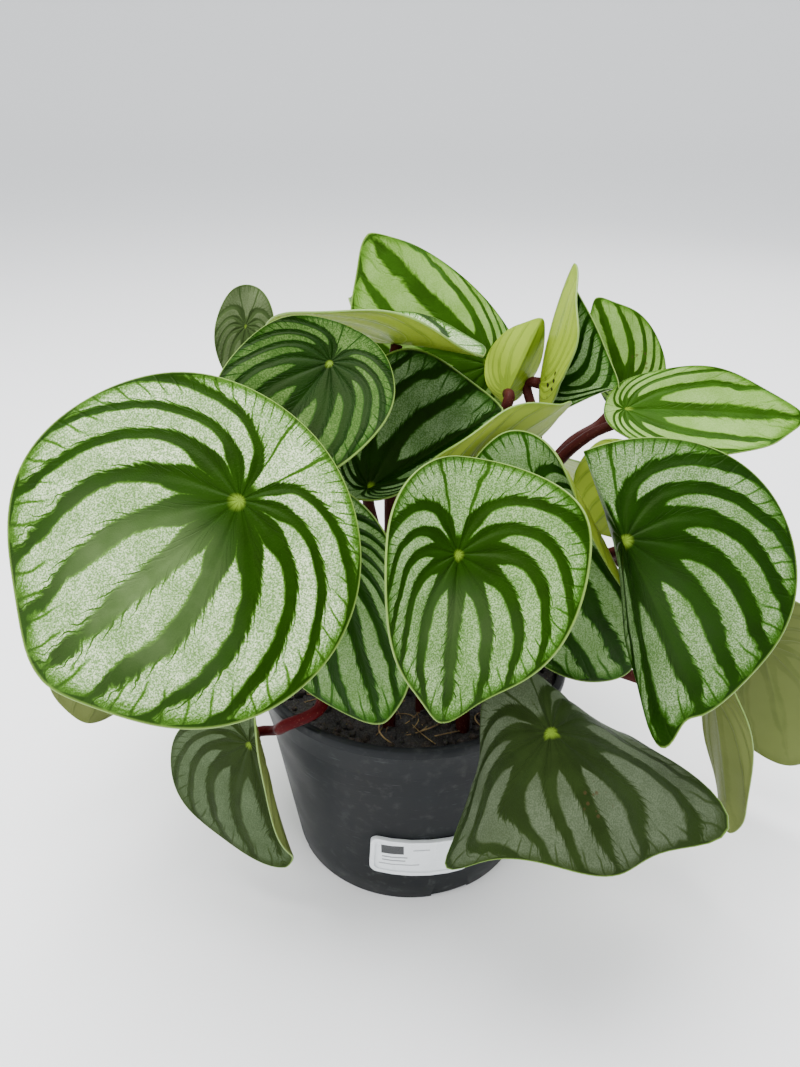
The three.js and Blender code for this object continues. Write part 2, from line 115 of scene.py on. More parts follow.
LEAVES = [
    new_leaf("front_left", (-46, -68, 184), (-98, -92, 145), (-96, 36), (-18, -22), (48, 53), 26,
             left=(2, -16), right=(2, -14), bend=-10, back=6, egg=(0, -0.04), point=0.1,
             via=[(-30, -22, 130), (-38, -38, 176)]),
    new_leaf("front_centre", (12, -62, 164), (8, -84, 122), (-76, 32), (4, -30), (38, 25), 28,
             left=(6, 54), right=(10, 30), bend=-22, back=10, egg=(0.25, 0.1), point=0.16),
    new_leaf("front_right", (62, -50, 162), (83, -80, 121), (-90, 30), (30, -16), (48, 22), 29,
             left=(0, -14), right=(-80, -30), bend=-12, open=0.5, egg=(0.05, -0.3),
             lobes=[(-0.5, 0.3, 0.22)], shift=5, via=[(42, -10, 120), (69, -26, 145)]),
    new_leaf("low_front", (40, -78, 113), (58, -101, 82), (-88, 56), (18, -38), (46, 44), 27,
             left=(-20, -78), right=(-18, -80), bend=-30, back=-30, egg=(0, -0.3), point=0.34,
             open=0.75, drop=0.5,
             lobes=[(0.52, 0.6, 0.3), (0.47, 0.26, 0.14), (-0.88, 0.14, 0.3), (-0.82, 0.16, 0.14)]),
    new_leaf("between_front", (-23, -46, 156), (-10, -66, 106), (-112, 26), (-8, -38), (21, 34), 20,
             left=(8, 14), right=(0, -14), bend=-8),
    new_leaf("low_left", (-57, -40, 74), (-47, -48, 20), (-104, 16), (-32, -24), (13, 37), 15,
             left=(0, 120), right=(0, -12), bend=-8, back=-10, egg=(0, 0.1),
             via=[(-31, -46, 94.5), (-43.2, -46.5, 87.5), (-48, -37, 77)]),
    new_leaf("back_left_small", (-61, 45, 199), (-64, 38, 178), (-86, 24), (-22, 16), (11, 11), 15,
             both=(4, 10), bend=-6, back=4),
    new_leaf("upper_left", (-24, -30, 209), (-48, -62, 187), (-84, 46), (-12, -10), (26, 23), 13,
             left=(10, 14), right=(6, 8), bend=6, back=10, via=[(-28, -8, 160), (-30, -18, 190)]),
    new_leaf("upper_flat", (-5, 4, 205), (-50, 17, 202), (94, 64), (-8, 4), (32, 24), 29, left=(2, 12),
             right=(22, 18), bend=-8, back=-10),
    new_leaf("top_back", (29, 36, 187), (-16, 54, 230), (-104, 32), (8, 14), (36, 17), 16, left=(0, -8),
             right=(-6, -30), bend=-8, back=-4, point=0.14),
    new_leaf("middle", (-14, -22, 165), (30, 0, 184), (-100, 50), (-3, -19), (36, 11), 9, left=(14, 44),
             right=(20, 20), bend=16, back=24, egg=(-0.1, 0)),
    new_leaf("middle_edge", (18, -18, 167), (53, -2, 186), (104, 46), (9, -9), (22, 24), 20,
             left=(6, 14), right=(6, 20), bend=14, back=10, point=0.14),
    new_leaf("behind_centre", (40, -31, 161), (74, -36, 101), (-100, 34), (18, -20), (19.5, 30), 29,
             left=(4, 165), right=(4, 14), flat=(9, 0), bend=-16, back=10),
    new_leaf("young_cupped", (34, 20, 182), (45, 26, 207), (80, 14), (16, 3), (14, 14), 4,
             left=(44, 20), right=(30, 20), bend=10, back=10, point=0.16, via=[(25, 17, 150)]),
    new_leaf("upright_folded", (46, 22, 185), (56, 34, 224), (-54, 8), (22, 12), (22, 23), 13,
             left=(64, 6), right=(62, 6), bend=20, back=30, egg=(0.05, 0.75), point=0.14,
             via=[(45, 16, 166)]),
    new_leaf("right_back", (83, 48, 174), (71, 60, 206), (-96, 26), (26, 22), (14, 18), 12,
             left=(-40, -30), right=(0, -8), bend=-8, back=-6, point=0.14, shift=-4,
             via=[(57, 30, 155), (78, 55, 158)]),
    new_leaf("right_flat", (72, 4, 182), (131, 0, 180), (-96, 52), (30, 2), (16, 19), 7, both=(6, 8),
             bend=-12, point=0.14, via=[(50, 10, 156), (62, 8, 171)]),
    new_leaf("right_inner", (76, -8, 161), (60, -14, 146), (70, 18), (38, 10), (20, 20), 10,
             both=(4, 10), bend=-10, point=0.1, via=[(68, 2, 120), (74, -20, 142)]),
    new_leaf("low_right", (138, 6, 85), (157, -6, 30), (60, 14), (42, -2), (34, 32), 22, both=(0, 14),
             bend=-14),
    new_leaf("low_right_front", (110, -24, 85), (120, -42, 31), (24, 12), (40, -23), (13, 13), 16,
             both=(6, 12), bend=-8),
    new_leaf("low_left_back", (-102, -4, 95), (-124, -18, 64), (110, 30), (-38, -6), (30, 30), 18,
             both=(4, 10), bend=-12),
    new_leaf("left_side", (-84, 16, 142), (-124, 26, 118), (175, 50), (-33, 8), (28, 28), 20,
             both=(4, 8), bend=-16),
    new_leaf("back_left", (-62, 62, 146), (-92, 94, 112), (130, 46), (-22, 28), (32, 30), 24,
             both=(4, -8), bend=-16),
    new_leaf("back_centre", (-4, 84, 146), (-10, 122, 110), (92, 46), (-4, 36), (34, 34), 20,
             both=(4, -8), bend=-16),
    new_leaf("back_low_left", (-44, 84, 96), (-58, 108, 54), (116, 30), (-16, 42), (28, 28), 20,
             both=(4, -8), bend=-14),
    new_leaf("back_right", (52, 74, 136), (80, 108, 102), (52, 44), (18, 31), (32, 32), 24,
             both=(4, -8), bend=-16),
    new_leaf("back_low_right", (30, 96, 92), (40, 122, 54), (76, 34), (10, 44), (26, 26), 18,
             both=(4, -8), bend=-14),
    new_leaf("back_top", (2, 66, 186), (-22, 92, 200), (110, 66), (-6, 24), (24, 24), 16, both=(4, 8),
             bend=-12, point=0.14),
]


def clear_selection():
    """Leaves edit mode and deselects everything."""
    if bpy.context.object and bpy.context.object.mode != "OBJECT":
        bpy.ops.object.mode_set(mode="OBJECT")
    bpy.ops.object.select_all(action="DESELECT")


def make_active(piece):
    clear_selection()
    piece.select_set(True)
    bpy.context.view_layer.objects.active = piece


def edit_all(piece):
    """Opens a piece in edit mode with all of it selected."""
    make_active(piece)
    bpy.ops.object.mode_set(mode="EDIT")
    bpy.ops.mesh.select_mode(type="VERT")
    bpy.ops.mesh.select_all(action="SELECT")


def turned(name, profile, sides):
    """A closed shell drawn out from one radius and height to the next, as on a wheel, in metres."""
    clear_selection()
    radius, height = profile[0]
    bpy.ops.mesh.primitive_circle_add(vertices=sides, radius=radius, location=(0, 0, height))
    piece = bpy.context.object
    piece.name = name
    bpy.ops.object.transform_apply(location=True, rotation=False, scale=False)
    edit_all(piece)
    for next_radius, next_height in profile[1:]:
        bpy.ops.mesh.extrude_region_move(TRANSFORM_OT_translate={"value": (0, 0, next_height - height)})
        share = next_radius / radius
        bpy.ops.transform.resize(value=(share, share, 1), center_override=(0, 0, next_height))
        radius, height = next_radius, next_height
    bpy.ops.mesh.extrude_region_move()
    bpy.ops.mesh.merge(type="CENTER")
    bpy.ops.mesh.select_all(action="DESELECT")
    bpy.ops.mesh.select_non_manifold()
    bpy.ops.mesh.edge_face_add()
    bpy.ops.mesh.poke()
    bpy.ops.mesh.select_all(action="SELECT")
    bpy.ops.mesh.normals_make_consistent(inside=False)
    bpy.ops.object.mode_set(mode="OBJECT")
    return piece


def new_object(name, data):
    piece = bpy.data.objects.new(name, data)
    bpy.context.collection.objects.link(piece)
    return piece


def places(mesh):
    """The places of a mesh's vertices, one row each."""
    co = np.zeros(len(mesh.vertices) * 3)
    mesh.vertices.foreach_get("co", co)
    return co.reshape(-1, 3)


def move_vertices(mesh, co):
    mesh.vertices.foreach_set("co", np.ascontiguousarray(co, dtype=np.float64).ravel())
    mesh.update()


def apply_modifier(piece, kind, **values):
    """Adds a modifier with its settings and applies it."""
    make_active(piece)
    modifier = piece.modifiers.new(kind.title(), kind)
    for key, value in values.items():
        setattr(modifier, key, value)
    bpy.ops.object.modifier_apply(modifier=modifier.name)


def finish_piece(piece, materials, slot, *nodes, crease=None):
    """Gives a piece its materials and body, and the CAD nodes that it stands for; the slot is not used.

    Its edges stay sharp where the faces turn by more than the crease, in degrees.
    """
    for material in materials:
        piece.data.materials.append(material)
    piece.data.shade_smooth()
    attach(piece, "root")
    if nodes:
        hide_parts(*nodes)
    if crease:
        make_active(piece)
        bpy.ops.object.shade_smooth_by_angle(angle=math.radians(crease))


# The leaf's shape

TIP_SPREAD = 0.3


def unit(vector):
    return vector / np.linalg.norm(vector)


def outline(leaf, reach, angle):
    """The flat margin about the heart, in millimetres: along to the tip and to the left."""
    behind = leaf["behind"]
    middle = (reach - behind) / 2
    half = (reach + behind) / 2
    point = leaf["point"]
    peak = point * (np.exp(-((angle / TIP_SPREAD) ** 2)) - 0.5)
    swell = 1
    for middle_angle, reach_out, spread in leaf["lobes"]:
        swell = swell + reach_out * np.exp(-(((angle - middle_angle) / spread) ** 2))
    wide = np.where(angle > 0, *leaf["wide"])
    narrowing = np.where(angle > 0, *leaf["egg"])
    along = swell * (middle + half * (np.cos(angle) * (1 - point / 2) + peak))
    return along, swell * wide * np.sin(angle) * (1 - narrowing * np.cos(angle))


def blade_axes(leaf):
    """The directions along, left and up at the heart, and the midrib's length."""
    heart = np.array(leaf["heart"], float)
    chord = np.array(leaf["tip"], float) - heart
    length = np.linalg.norm(chord)
    chord = chord / length
    azimuth, elevation = (math.radians(turn) for turn in leaf["face"])
    face = np.array([
        math.cos(azimuth) * math.cos(elevation),
        math.sin(azimuth) * math.cos(elevation),
        math.sin(elevation),
    ])
    up = unit(face - chord * face.dot(chord))
    half = math.radians(leaf["bend"]) / 2
    return {
        "heart": heart,
        "along": chord * math.cos(half) - up * math.sin(half),
        "left": np.cross(up, chord),
        "up": up * math.cos(half) + chord * math.sin(half),
        "reach": length * half / math.sin(half),
    }


def steady_turn(start, rate, distance):
    """How far a line goes on and up when it starts at a slope and turns steadily."""
    straight = np.abs(rate * distance) < 1e-6
    rate = np.where(np.abs(rate) < 1e-9, 1e-9, rate)
    end = start + rate * distance
    on = np.where(straight, distance * np.cos(start), (np.sin(end) - np.sin(start)) / rate)
    up = np.where(straight, distance * np.sin(start), (np.cos(start) - np.cos(end)) / rate)
    return on, up


def vein_distance(ray, share):
    """How far a place is from the nearest main vein: 0 on the vein, 1 midway to the next."""
    start = 1 - (1 - ray) ** (1 + VEIN_BOW * share**5)
    turn = start * VEINS / 2 + 0.5
    return np.abs(turn - np.floor(turn) - 0.5) * 2


QUILT_HEIGHT = 0.4
QUILT_SINK = 0.6
QUILT_FULL_LEAF = 20
HEART_FADE = 0.25
MARGIN_FADE = 0.1
LEAST_MITRE = 0.6
EDGE_THINNER = 0.25


def rays_of(edge_along, edge_left):
    """How far round the heart from the tip a place lies: 0 on the midrib, 1 at the hind end."""
    return np.arctan2(np.abs(edge_left), edge_along) / math.pi


def blade_points(leaf, axes, angle, share, layer, thickness):
    """Points of the bent blade, its veins sunk a little: layer runs from -1 below to 1 above."""
    edge_along, edge_left = outline(leaf, axes["reach"], angle)
    u = edge_along * share
    v = edge_left * share
    side = np.sign(np.where(np.abs(v) < 1e-9, 0, v))
    spread = 1 - leaf["open"] * u / axes["reach"]
    fold, roll = (
        np.radians(np.where(side > 0, *halves)) * spread for halves in zip(leaf["left"], leaf["right"])
    )
    flat = np.where(side > 0, *leaf["flat"])
    curved = np.maximum(0, np.abs(v) - flat)
    straight = np.abs(v) - curved
    side_rate = roll / (np.where(side > 0, *leaf["wide"]) - flat)
    across, raised = steady_turn(fold, side_rate, curved)
    across = across + straight * np.cos(fold)
    raised = raised + straight * np.sin(fold)
    slope = fold + side_rate * curved
    bend = math.radians(leaf["bend"]) / axes["reach"]
    back = math.radians(leaf["back"]) / leaf["behind"]
    rib_rate = np.where(u > 0, bend, back)
    turn = rib_rate * u
    on, lifted = steady_turn(0, rib_rate, u)
    along, left, up = axes["along"], axes["left"], axes["up"]
    normal = np.outer(np.cos(turn), up) - np.outer(np.sin(turn), along)
    ripple = share**4 * np.sin(MARGIN_RIPPLES * angle + leaf["behind"])
    outward = normal * np.cos(slope)[:, None] - np.outer(np.sin(slope) * side, left)
    left_face, right_face = (
        normal * np.cos(turned_by)[:, None] - np.outer(np.sin(turned_by) * hand, left)
        for turned_by, hand in (
            (math.radians(leaf[half][0]) * spread, hand) for half, hand in (("left", 1), ("right", -1))
        )
    )
    between = left_face + right_face
    between /= np.linalg.norm(between, axis=1)[:, None]
    mitre = np.maximum(LEAST_MITRE, (between * left_face).sum(axis=1))
    outward = np.where((side == 0)[:, None], between / mitre[:, None], outward)
    ray = rays_of(edge_along, edge_left)
    swelling = np.sin(vein_distance(ray, share) * math.pi / 2) - QUILT_SINK
    fade = np.clip(share / HEART_FADE, 0, 1) * np.clip((1 - share) / MARGIN_FADE, 0, 1)
    quilt = QUILT_HEIGHT * swelling * fade * min(1, leaf["behind"] / QUILT_FULL_LEAF)
    point = (
        axes["heart"]
        + np.outer(on, along)
        + np.outer(lifted, up)
        + np.outer(across * side, left)
        + normal * (raised + ripple)[:, None]
    )
    return point + outward * (quilt + layer * thickness / 2 * (1 - EDGE_THINNER * share))[:, None]


# The blade's blank: a thin closed disc of rings, denser at the margin, with its rays denser at the tip

BLANK_RAYS = 128
TIP_CROWDING = 0.3
SIDE_HEIGHT = 0.85
BLANK_SHARES = (
    0.985, 0.965, 0.94, 0.91, 0.875, 0.835, 0.79, 0.745, 0.7, 0.65, 0.6, 0.55, 0.5, 0.45, 0.4, 0.35,
    0.3, 0.25, 0.2, 0.15, 0.1, 0.06, 0.03,
)
ROUND_RIM = ((0.996, 0.8), (1, 0.4), (1, -0.4), (0.996, -0.8))


def ray_and_share(mesh):
    """The angle and the share of the way out of each of the blank's vertices, and its height."""
    co = places(mesh)
    even = np.arctan2(co[:, 1], co[:, 0]) / math.pi
    angle = math.pi * even * (1 - TIP_CROWDING + TIP_CROWDING * np.abs(even))
    return angle, np.minimum(np.hypot(co[:, 0], co[:, 1]), 1), co[:, 2]


def blade_blank():
    """A flat closed disc with a UV map made ready for its rays and shares of the way out."""
    upper = [(share, 1) for share in reversed(BLANK_SHARES)]
    lower = [(share, -1) for share in BLANK_SHARES]
    blank = turned("blade_blank", [*upper, *ROUND_RIM, *lower], BLANK_RAYS)
    blank.data.uv_layers.new(name="rays")
    height = ray_and_share(blank.data)[2]
    for face in blank.data.polygons:
        middle = sum(height[i] for i in face.vertices) / len(face.vertices)
        face.material_index = 0 if middle > SIDE_HEIGHT else 1 if middle < -SIDE_HEIGHT else 2
    return blank


def keep_rays(mesh, ray, share):
    """Keep each place's ray and share of the way out in the UV map; at the heart each face has its own."""
    corners = np.zeros(len(mesh.loops), int)
    mesh.loops.foreach_get("vertex_index", corners)
    kept = np.column_stack([ray[corners], share[corners]])
    for face in mesh.polygons:
        if len(face.vertices) == 3:
            loops = list(face.loop_indices)
            outer = [loop for loop in loops if kept[loop, 1] > 0.001]
            for loop in loops:
                if loop not in outer:
                    kept[loop, 0] = kept[outer, 0].mean()
    mesh.uv_layers["rays"].data.foreach_set("uv", kept.ravel())


def make_blade(leaf, blank, materials):
    """A blade bent from the blank; gives the directions at its heart."""
    axes = blade_axes(leaf)
    blade = new_object("leaf_" + leaf["name"], blank.data.copy())
    angle, share, height = ray_and_share(blade.data)
    thickness = BLADE_THICKNESS * (1 if leaf["behind"] > SMALL_LEAF else SMALL_LEAF_THINNER)
    keep_rays(blade.data, rays_of(*outline(leaf, axes["reach"], angle)), share)
    move_vertices(blade.data, blade_points(leaf, axes, angle, share, height, thickness) * MM)
    finish_piece(blade, materials, "blade", "blade_" + leaf["name"])
    return axes


# The stalks

STALK_SIDES = 14
STALK_RINGS = 40
PATH_STEPS = 24
HALF_SOLID_BLADE = 0.6
LEAST_FALL = 2
FREE_RISE = 0.3
STALK_WAVE = 0.05
STALK_WAVES = 22
STALK_SHRINK = 0.1
STALK_FLARE = (0.05, 0.15, 0.25)


def smooth_path(points, count):
    """Points along a smooth line through the given ones, evenly spaced: a centripetal curve."""
    points = [np.array(p, float) for p in points]
    ends = [2 * points[0] - points[1]] + points + [2 * points[-1] - points[-2]]
    fine = []
    for before, a, b, after in zip(ends, ends[1:], ends[2:], ends[3:]):
        t0, t1, t2 = (math.sqrt(np.linalg.norm(q - p)) for p, q in ((before, a), (a, b), (b, after)))
        first = ((a - before) / t0 - (b - before) / (t0 + t1) + (b - a) / t1) * t1
        last = ((b - a) / t1 - (after - a) / (t1 + t2) + (after - b) / t2) * t1
        for t in np.linspace(0, 1, PATH_STEPS, endpoint=False):
            fine.append(
                (2 * t**3 - 3 * t**2 + 1) * a + (t**3 - 2 * t**2 + t) * first
                + (3 * t**2 - 2 * t**3) * b + (t**3 - t**2) * last
            )
    fine.append(points[-1])
    fine = np.array(fine)
    lengths = np.concatenate([[0], np.cumsum(np.linalg.norm(np.diff(fine, axis=0), axis=1))])
    at = np.linspace(0, lengths[-1], count)
    return np.stack([np.interp(at, lengths, fine[:, i]) for i in range(3)], axis=1)


def stalk_path(leaf, axes):
    """The stalk's middle line, from the bottom of its hole to the blade's underside."""
    x, y = leaf["foot"]
    foot = np.array([x, y, SOIL_LEVEL + SOIL_LUMP], float)
    fall = 0 if leaf["shift"] else max(LEAST_FALL, -leaf["left"][0], -leaf["right"][0])
    gap = SEAT_GAP + leaf["drop"]
    clearance = HALF_SOLID_BLADE + gap + STALK_TOP_RADIUS * math.tan(math.radians(fall))
    top = axes["heart"] - axes["up"] * clearance + axes["left"] * leaf["shift"]
    span = np.linalg.norm(top - foot)
    rise = foot + np.array([0, 0, FIRST_RISE if leaf["via"] else FREE_RISE * span])
    below = top - axes["up"] * SQUARE_LENGTH
    upper = smooth_path([foot, rise, *leaf["via"], below, top], STALK_RINGS - 3)
    depths = (STALK_DEPTH, STALK_DEPTH / 2, 2)
    lower = np.array([foot - np.array([0, 0, depth]) for depth in depths])
    return np.concatenate([lower, upper])


def stalk_blank():
    """An upright unit tube with closed ends and one ring for each step of a stalk."""
    steps = STALK_RINGS - 1
    profile = [(1, step / steps) for step in range(steps + 1)]
    blank = turned("stalk_blank", profile, STALK_SIDES)
    layer = blank.data.uv_layers.new(name="run")
    co = places(blank.data)
    for loop in blank.data.loops:
        x, y, z = co[loop.vertex_index]
        layer.data[loop.index].uv = (abs(math.atan2(y, x)) / math.pi, z)
    return blank


def make_stalk(leaf, axes, blank, material):
    """A stalk swept along its path, a little wavy in its width and flared at its top."""
    path = stalk_path(leaf, axes)
    steps = len(path) - 1
    tangent = np.gradient(path, axis=0)
    tangent /= np.linalg.norm(tangent, axis=1)[:, None]
    across = unit(np.cross(tangent[0], [0.3, 1, 0]))
    normals = []
    for direction in tangent:
        across = unit(across - direction * across.dot(direction))
        normals.append(across)
    normals = np.array(normals)
    binormals = np.cross(tangent, normals)
    run = np.linspace(0, 1, steps + 1)
    radius = STALK_FOOT_RADIUS + (STALK_TOP_RADIUS - STALK_FOOT_RADIUS) * run
    radius = radius * (1 - STALK_WAVE * np.sin(run * STALK_WAVES + leaf["behind"])) - STALK_SHRINK
    radius[-3:] += np.array(STALK_FLARE)
    stalk = new_object("stem_" + leaf["name"], blank.data.copy())
    co = places(stalk.data)
    step = np.rint(np.clip(co[:, 2], 0, 1) * steps).astype(int)
    spread = radius[step][:, None]
    flat = path[step] + normals[step] * co[:, :1] * spread + binormals[step] * co[:, 1:2] * spread
    move_vertices(stalk.data, flat * MM)
    finish_piece(stalk, [material], "stalk", "stalk_" + leaf["name"])


# The pot, the soil and the label

POT_SIDES = 120
SOIL_SIDES = 132
SOIL_RINGS = 52
POT_CREASE = 32
LABEL_CREASE = 35


def wall_radius(height):
    return POT_FOOT_RADIUS + (WALL_TOP_RADIUS - POT_FOOT_RADIUS) * height / LIP_FOOT


def on_ring(radius, angle):
    """A place on the floor, in metres, on a ring of a radius in millimetres."""
    return radius * MM * math.cos(angle), radius * MM * math.sin(angle), 0


def make_pot(material):
    """The moulded shell: a thin wall with a rolled lip, round drain holes and slots at its foot."""
    inner = WALL_TOP_RADIUS - POT_WALL
    profile = [
        (6, 0.5), (20, 0.5), (34, 0.5), (POT_FOOT_RADIUS - 6, 0.5), (POT_FOOT_RADIUS - 5, 0),
        (POT_FOOT_RADIUS - 1.4, 0), (POT_FOOT_RADIUS - 0.5, 0.35),
        *((wall_radius(height), height) for height in (1.4, 10, 30, 50, 70, LIP_FOOT - 0.5)),
        (WALL_TOP_RADIUS + 0.1, LIP_FOOT - 0.1), (POT_RIM_RADIUS - 0.5, LIP_FOOT + 0.15),
        (POT_RIM_RADIUS - 0.05, LIP_FOOT + 0.6), (POT_RIM_RADIUS, POT_HEIGHT - 1.1),
        (POT_RIM_RADIUS - 0.35, POT_HEIGHT - 0.3), (POT_RIM_RADIUS - 0.9, POT_HEIGHT),
        (inner + 0.9, POT_HEIGHT), (inner + 0.25, POT_HEIGHT - 0.3), (inner, POT_HEIGHT - 1),
        (inner - 0.1, 70), (wall_radius(40) - POT_WALL, 40),
        (wall_radius(POT_FLOOR) - POT_WALL, POT_FLOOR), (30, POT_FLOOR), (6, POT_FLOOR),
    ]
    pot = turned("pot_shell", [(r * MM, z * MM) for r, z in profile], POT_SIDES)
    cutters = []
    for quarter in range(DRAIN_HOLES):
        angle = math.radians(45 + 90 * quarter)
        clear_selection()
        bpy.ops.mesh.primitive_cylinder_add(
            vertices=24, radius=DRAIN_RADIUS * MM, depth=12 * MM,
            location=on_ring(DRAIN_RING_RADIUS, angle),
        )
        cutters.append(bpy.context.object)
        turn = math.radians(FOOT_SLOT_TURN + 90 * quarter)
        bpy.ops.object.select_all(action="DESELECT")
        bpy.ops.mesh.primitive_cube_add(
            size=1, scale=[side * MM for side in FOOT_SLOT], rotation=(0, 0, turn),
            location=on_ring(POT_FOOT_RADIUS, turn),
        )
        cutters.append(bpy.context.object)
    for cutter in cutters:
        cutter.select_set(True)
    bpy.context.view_layer.objects.active = cutters[0]
    bpy.ops.object.join()
    tool = bpy.context.object
    apply_modifier(pot, "BOOLEAN", operation="DIFFERENCE", solver="EXACT", object=tool)
    bpy.data.objects.remove(tool)
    finish_piece(pot, [material], "pot", "pot", crease=POT_CREASE)


def lump(x, y):
    """The soil's broad lumps, in millimetres."""
    across = np.sin(x / 5.3 + 1.7 * np.sin(y / 9.1))
    deep = np.sin(y / 4.7 + 2 * np.sin(x / 7.9))
    return SOIL_LUMP * (across + deep) / 2


def crumble(x, y):
    """Finer crumbling on top of the lumps, in millimetres."""
    fine = np.sin(x * 1.9 + 2 * np.sin(y * 1.3)) * np.sin(y * 2.3 + 2 * np.sin(x * 0.9))
    coarse = np.sin(x * 0.8 + np.sin(y * 0.7)) * np.sin(y * 0.9 + 2)
    return 0.45 * fine + 0.5 * coarse


def make_soil(material):
    """The bed of soil: it fills the pot and has a lumpy, crumbled top."""
    bottom = POT_FLOOR + SEAT_GAP
    clearance = POT_WALL + SOIL_GAP
    rim = wall_radius(SOIL_LEVEL) - clearance
    tops = [(rim * share, SOIL_LEVEL) for share in np.linspace(0.985, 0.02, SOIL_RINGS)]
    profile = [(8, bottom), (wall_radius(bottom) - clearance, bottom), (rim, SOIL_LEVEL - 3)] + tops
    soil = turned("soil_bed", [(r * MM, z * MM) for r, z in profile], SOIL_SIDES)
    co = places(soil.data) / MM
    top = co[:, 2] > SOIL_LEVEL - 1
    co[top, 2] += (lump(co[:, 0], co[:, 1]) + crumble(co[:, 0], co[:, 1]))[top]
    move_vertices(soil.data, co * MM)
    finish_piece(soil, [material], "soil", "soil")


def tiled(name, blank, count, place):
    """One piece of many small copies of a blank, each turned and moved by place(random, co)."""
    random = np.random.default_rng(7)
    base = places(blank.data)
    faces = [list(face.vertices) for face in blank.data.polygons]
    all_co = []
    all_faces = []
    for i in range(count):
        all_co.append(place(random, base))
        all_faces += [[index + i * len(base) for index in face] for face in faces]
    mesh = bpy.data.meshes.new(name)
    mesh.from_pydata(np.concatenate(all_co).tolist(), [], all_faces)
    mesh.update()
    bpy.data.objects.remove(blank)
    return new_object(name, mesh)


def turn_about(random, flat=1.0):
    """A random turn, as a matrix: flat below 1 keeps the piece lying down."""
    yaw = random.uniform(0, 2 * math.pi)
    pitch = random.uniform(-math.pi, math.pi) * flat / 2
    cy, sy, cp, sp = math.cos(yaw), math.sin(yaw), math.cos(pitch), math.sin(pitch)
    about_z = np.array([[cy, -sy, 0], [sy, cy, 0], [0, 0, 1]])
    return about_z @ np.array([[cp, 0, sp], [0, 1, 0], [-sp, 0, cp]])


def soil_place(random, reach):
    """A random place on the soil's surface."""
    angle = random.uniform(0, 2 * math.pi)
    radius = reach * math.sqrt(random.uniform(0, 1))
    x, y = radius * math.cos(angle), radius * math.sin(angle)
    return np.array([x, y, SOIL_LEVEL + float(lump(x, y) + crumble(x, y))])


def make_crumbs(material):
    """Rounded crumbs of peat strewn over the soil."""
    clear_selection()
    bpy.ops.mesh.primitive_ico_sphere_add(subdivisions=2, radius=1)
    blank = bpy.context.object

    def place(random, base):
        size = random.uniform(0.5, 1.0) ** 2 * LARGEST_CRUMB
        rough = 1 + 0.22 * np.sin(base @ random.uniform(2, 5, (3, 3))).sum(axis=1)[:, None] / 1.7
        shape = base * rough * size * random.uniform(0.6, 1.2, 3)
        return (shape @ turn_about(random).T + soil_place(random, CRUMB_REACH)) * MM

    crumbs = tiled("soil_crumbs", blank, CRUMBS, place)
    finish_piece(crumbs, [material], "soil")


def make_fibres(material):
    """Thin bowed fibres that lie on the soil."""
    steps = 8
    blank = turned("fibre_blank", [(1, step / steps) for step in range(steps + 1)], 5)

    def place(random, base):
        length = random.uniform(*FIBRE_LENGTHS)
        radius = random.uniform(*FIBRE_RADII)
        bow = random.uniform(-0.35, 0.35, 2) * length
        run = base[:, 2]
        arch = 4 * run * (1 - run)
        shape = np.stack([
            (run - 0.5) * length,
            base[:, 0] * radius + arch * bow[0],
            base[:, 1] * radius + arch * abs(bow[1]) * 0.35,
        ], axis=1)
        return (shape @ turn_about(random, 0.12).T + soil_place(random, FIBRE_REACH) + [0, 0, 0.5]) * MM

    fibres = tiled("soil_fibres", blank, FIBRES, place)
    finish_piece(fibres, [material], "soil")


def make_label(material):
    """The label: its solid's own plate, merged and rounded, with flat coordinates for its print."""
    clear_selection()
    label = new_object("label_plate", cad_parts["label"].data.copy())
    label.data.materials.clear()
    edit_all(label)
    bpy.ops.mesh.remove_doubles(threshold=1e-6)
    bpy.ops.object.mode_set(mode="OBJECT")
    apply_modifier(label, "BEVEL", width=0.15 * MM, segments=2, limit_method="ANGLE", angle_limit=0.6)
    layer = label.data.uv_layers.new(name="print")
    co = places(label.data) / MM
    for loop in label.data.loops:
        x, y, z = co[loop.vertex_index]
        across = (math.atan2(x, -y) + math.radians(LABEL_TURN)) * LABEL_RADIUS / LABEL_WIDTH
        layer.data[loop.index].uv = (0.5 - across, (z - LABEL_LOW) / LABEL_HEIGHT)
    finish_piece(label, [material], "label", "label", crease=LABEL_CREASE)


# Materials

GRAIN_RANGE = (0.3, 0.7)


def feed(made, inputs):
    """Feeds a node's inputs with numbers, colours or what other nodes hand on."""
    for key, value in inputs.items():
        if isinstance(value, Value):
            made.id_data.links.new(value.socket, made.inputs[key])
        else:
            made.inputs[key].default_value = value


def add_node(tree, kind, inputs, **settings):
    made = tree.nodes.new("ShaderNode" + kind)
    for key, value in settings.items():
        setattr(made, key, value)
    feed(made, inputs)
    return made


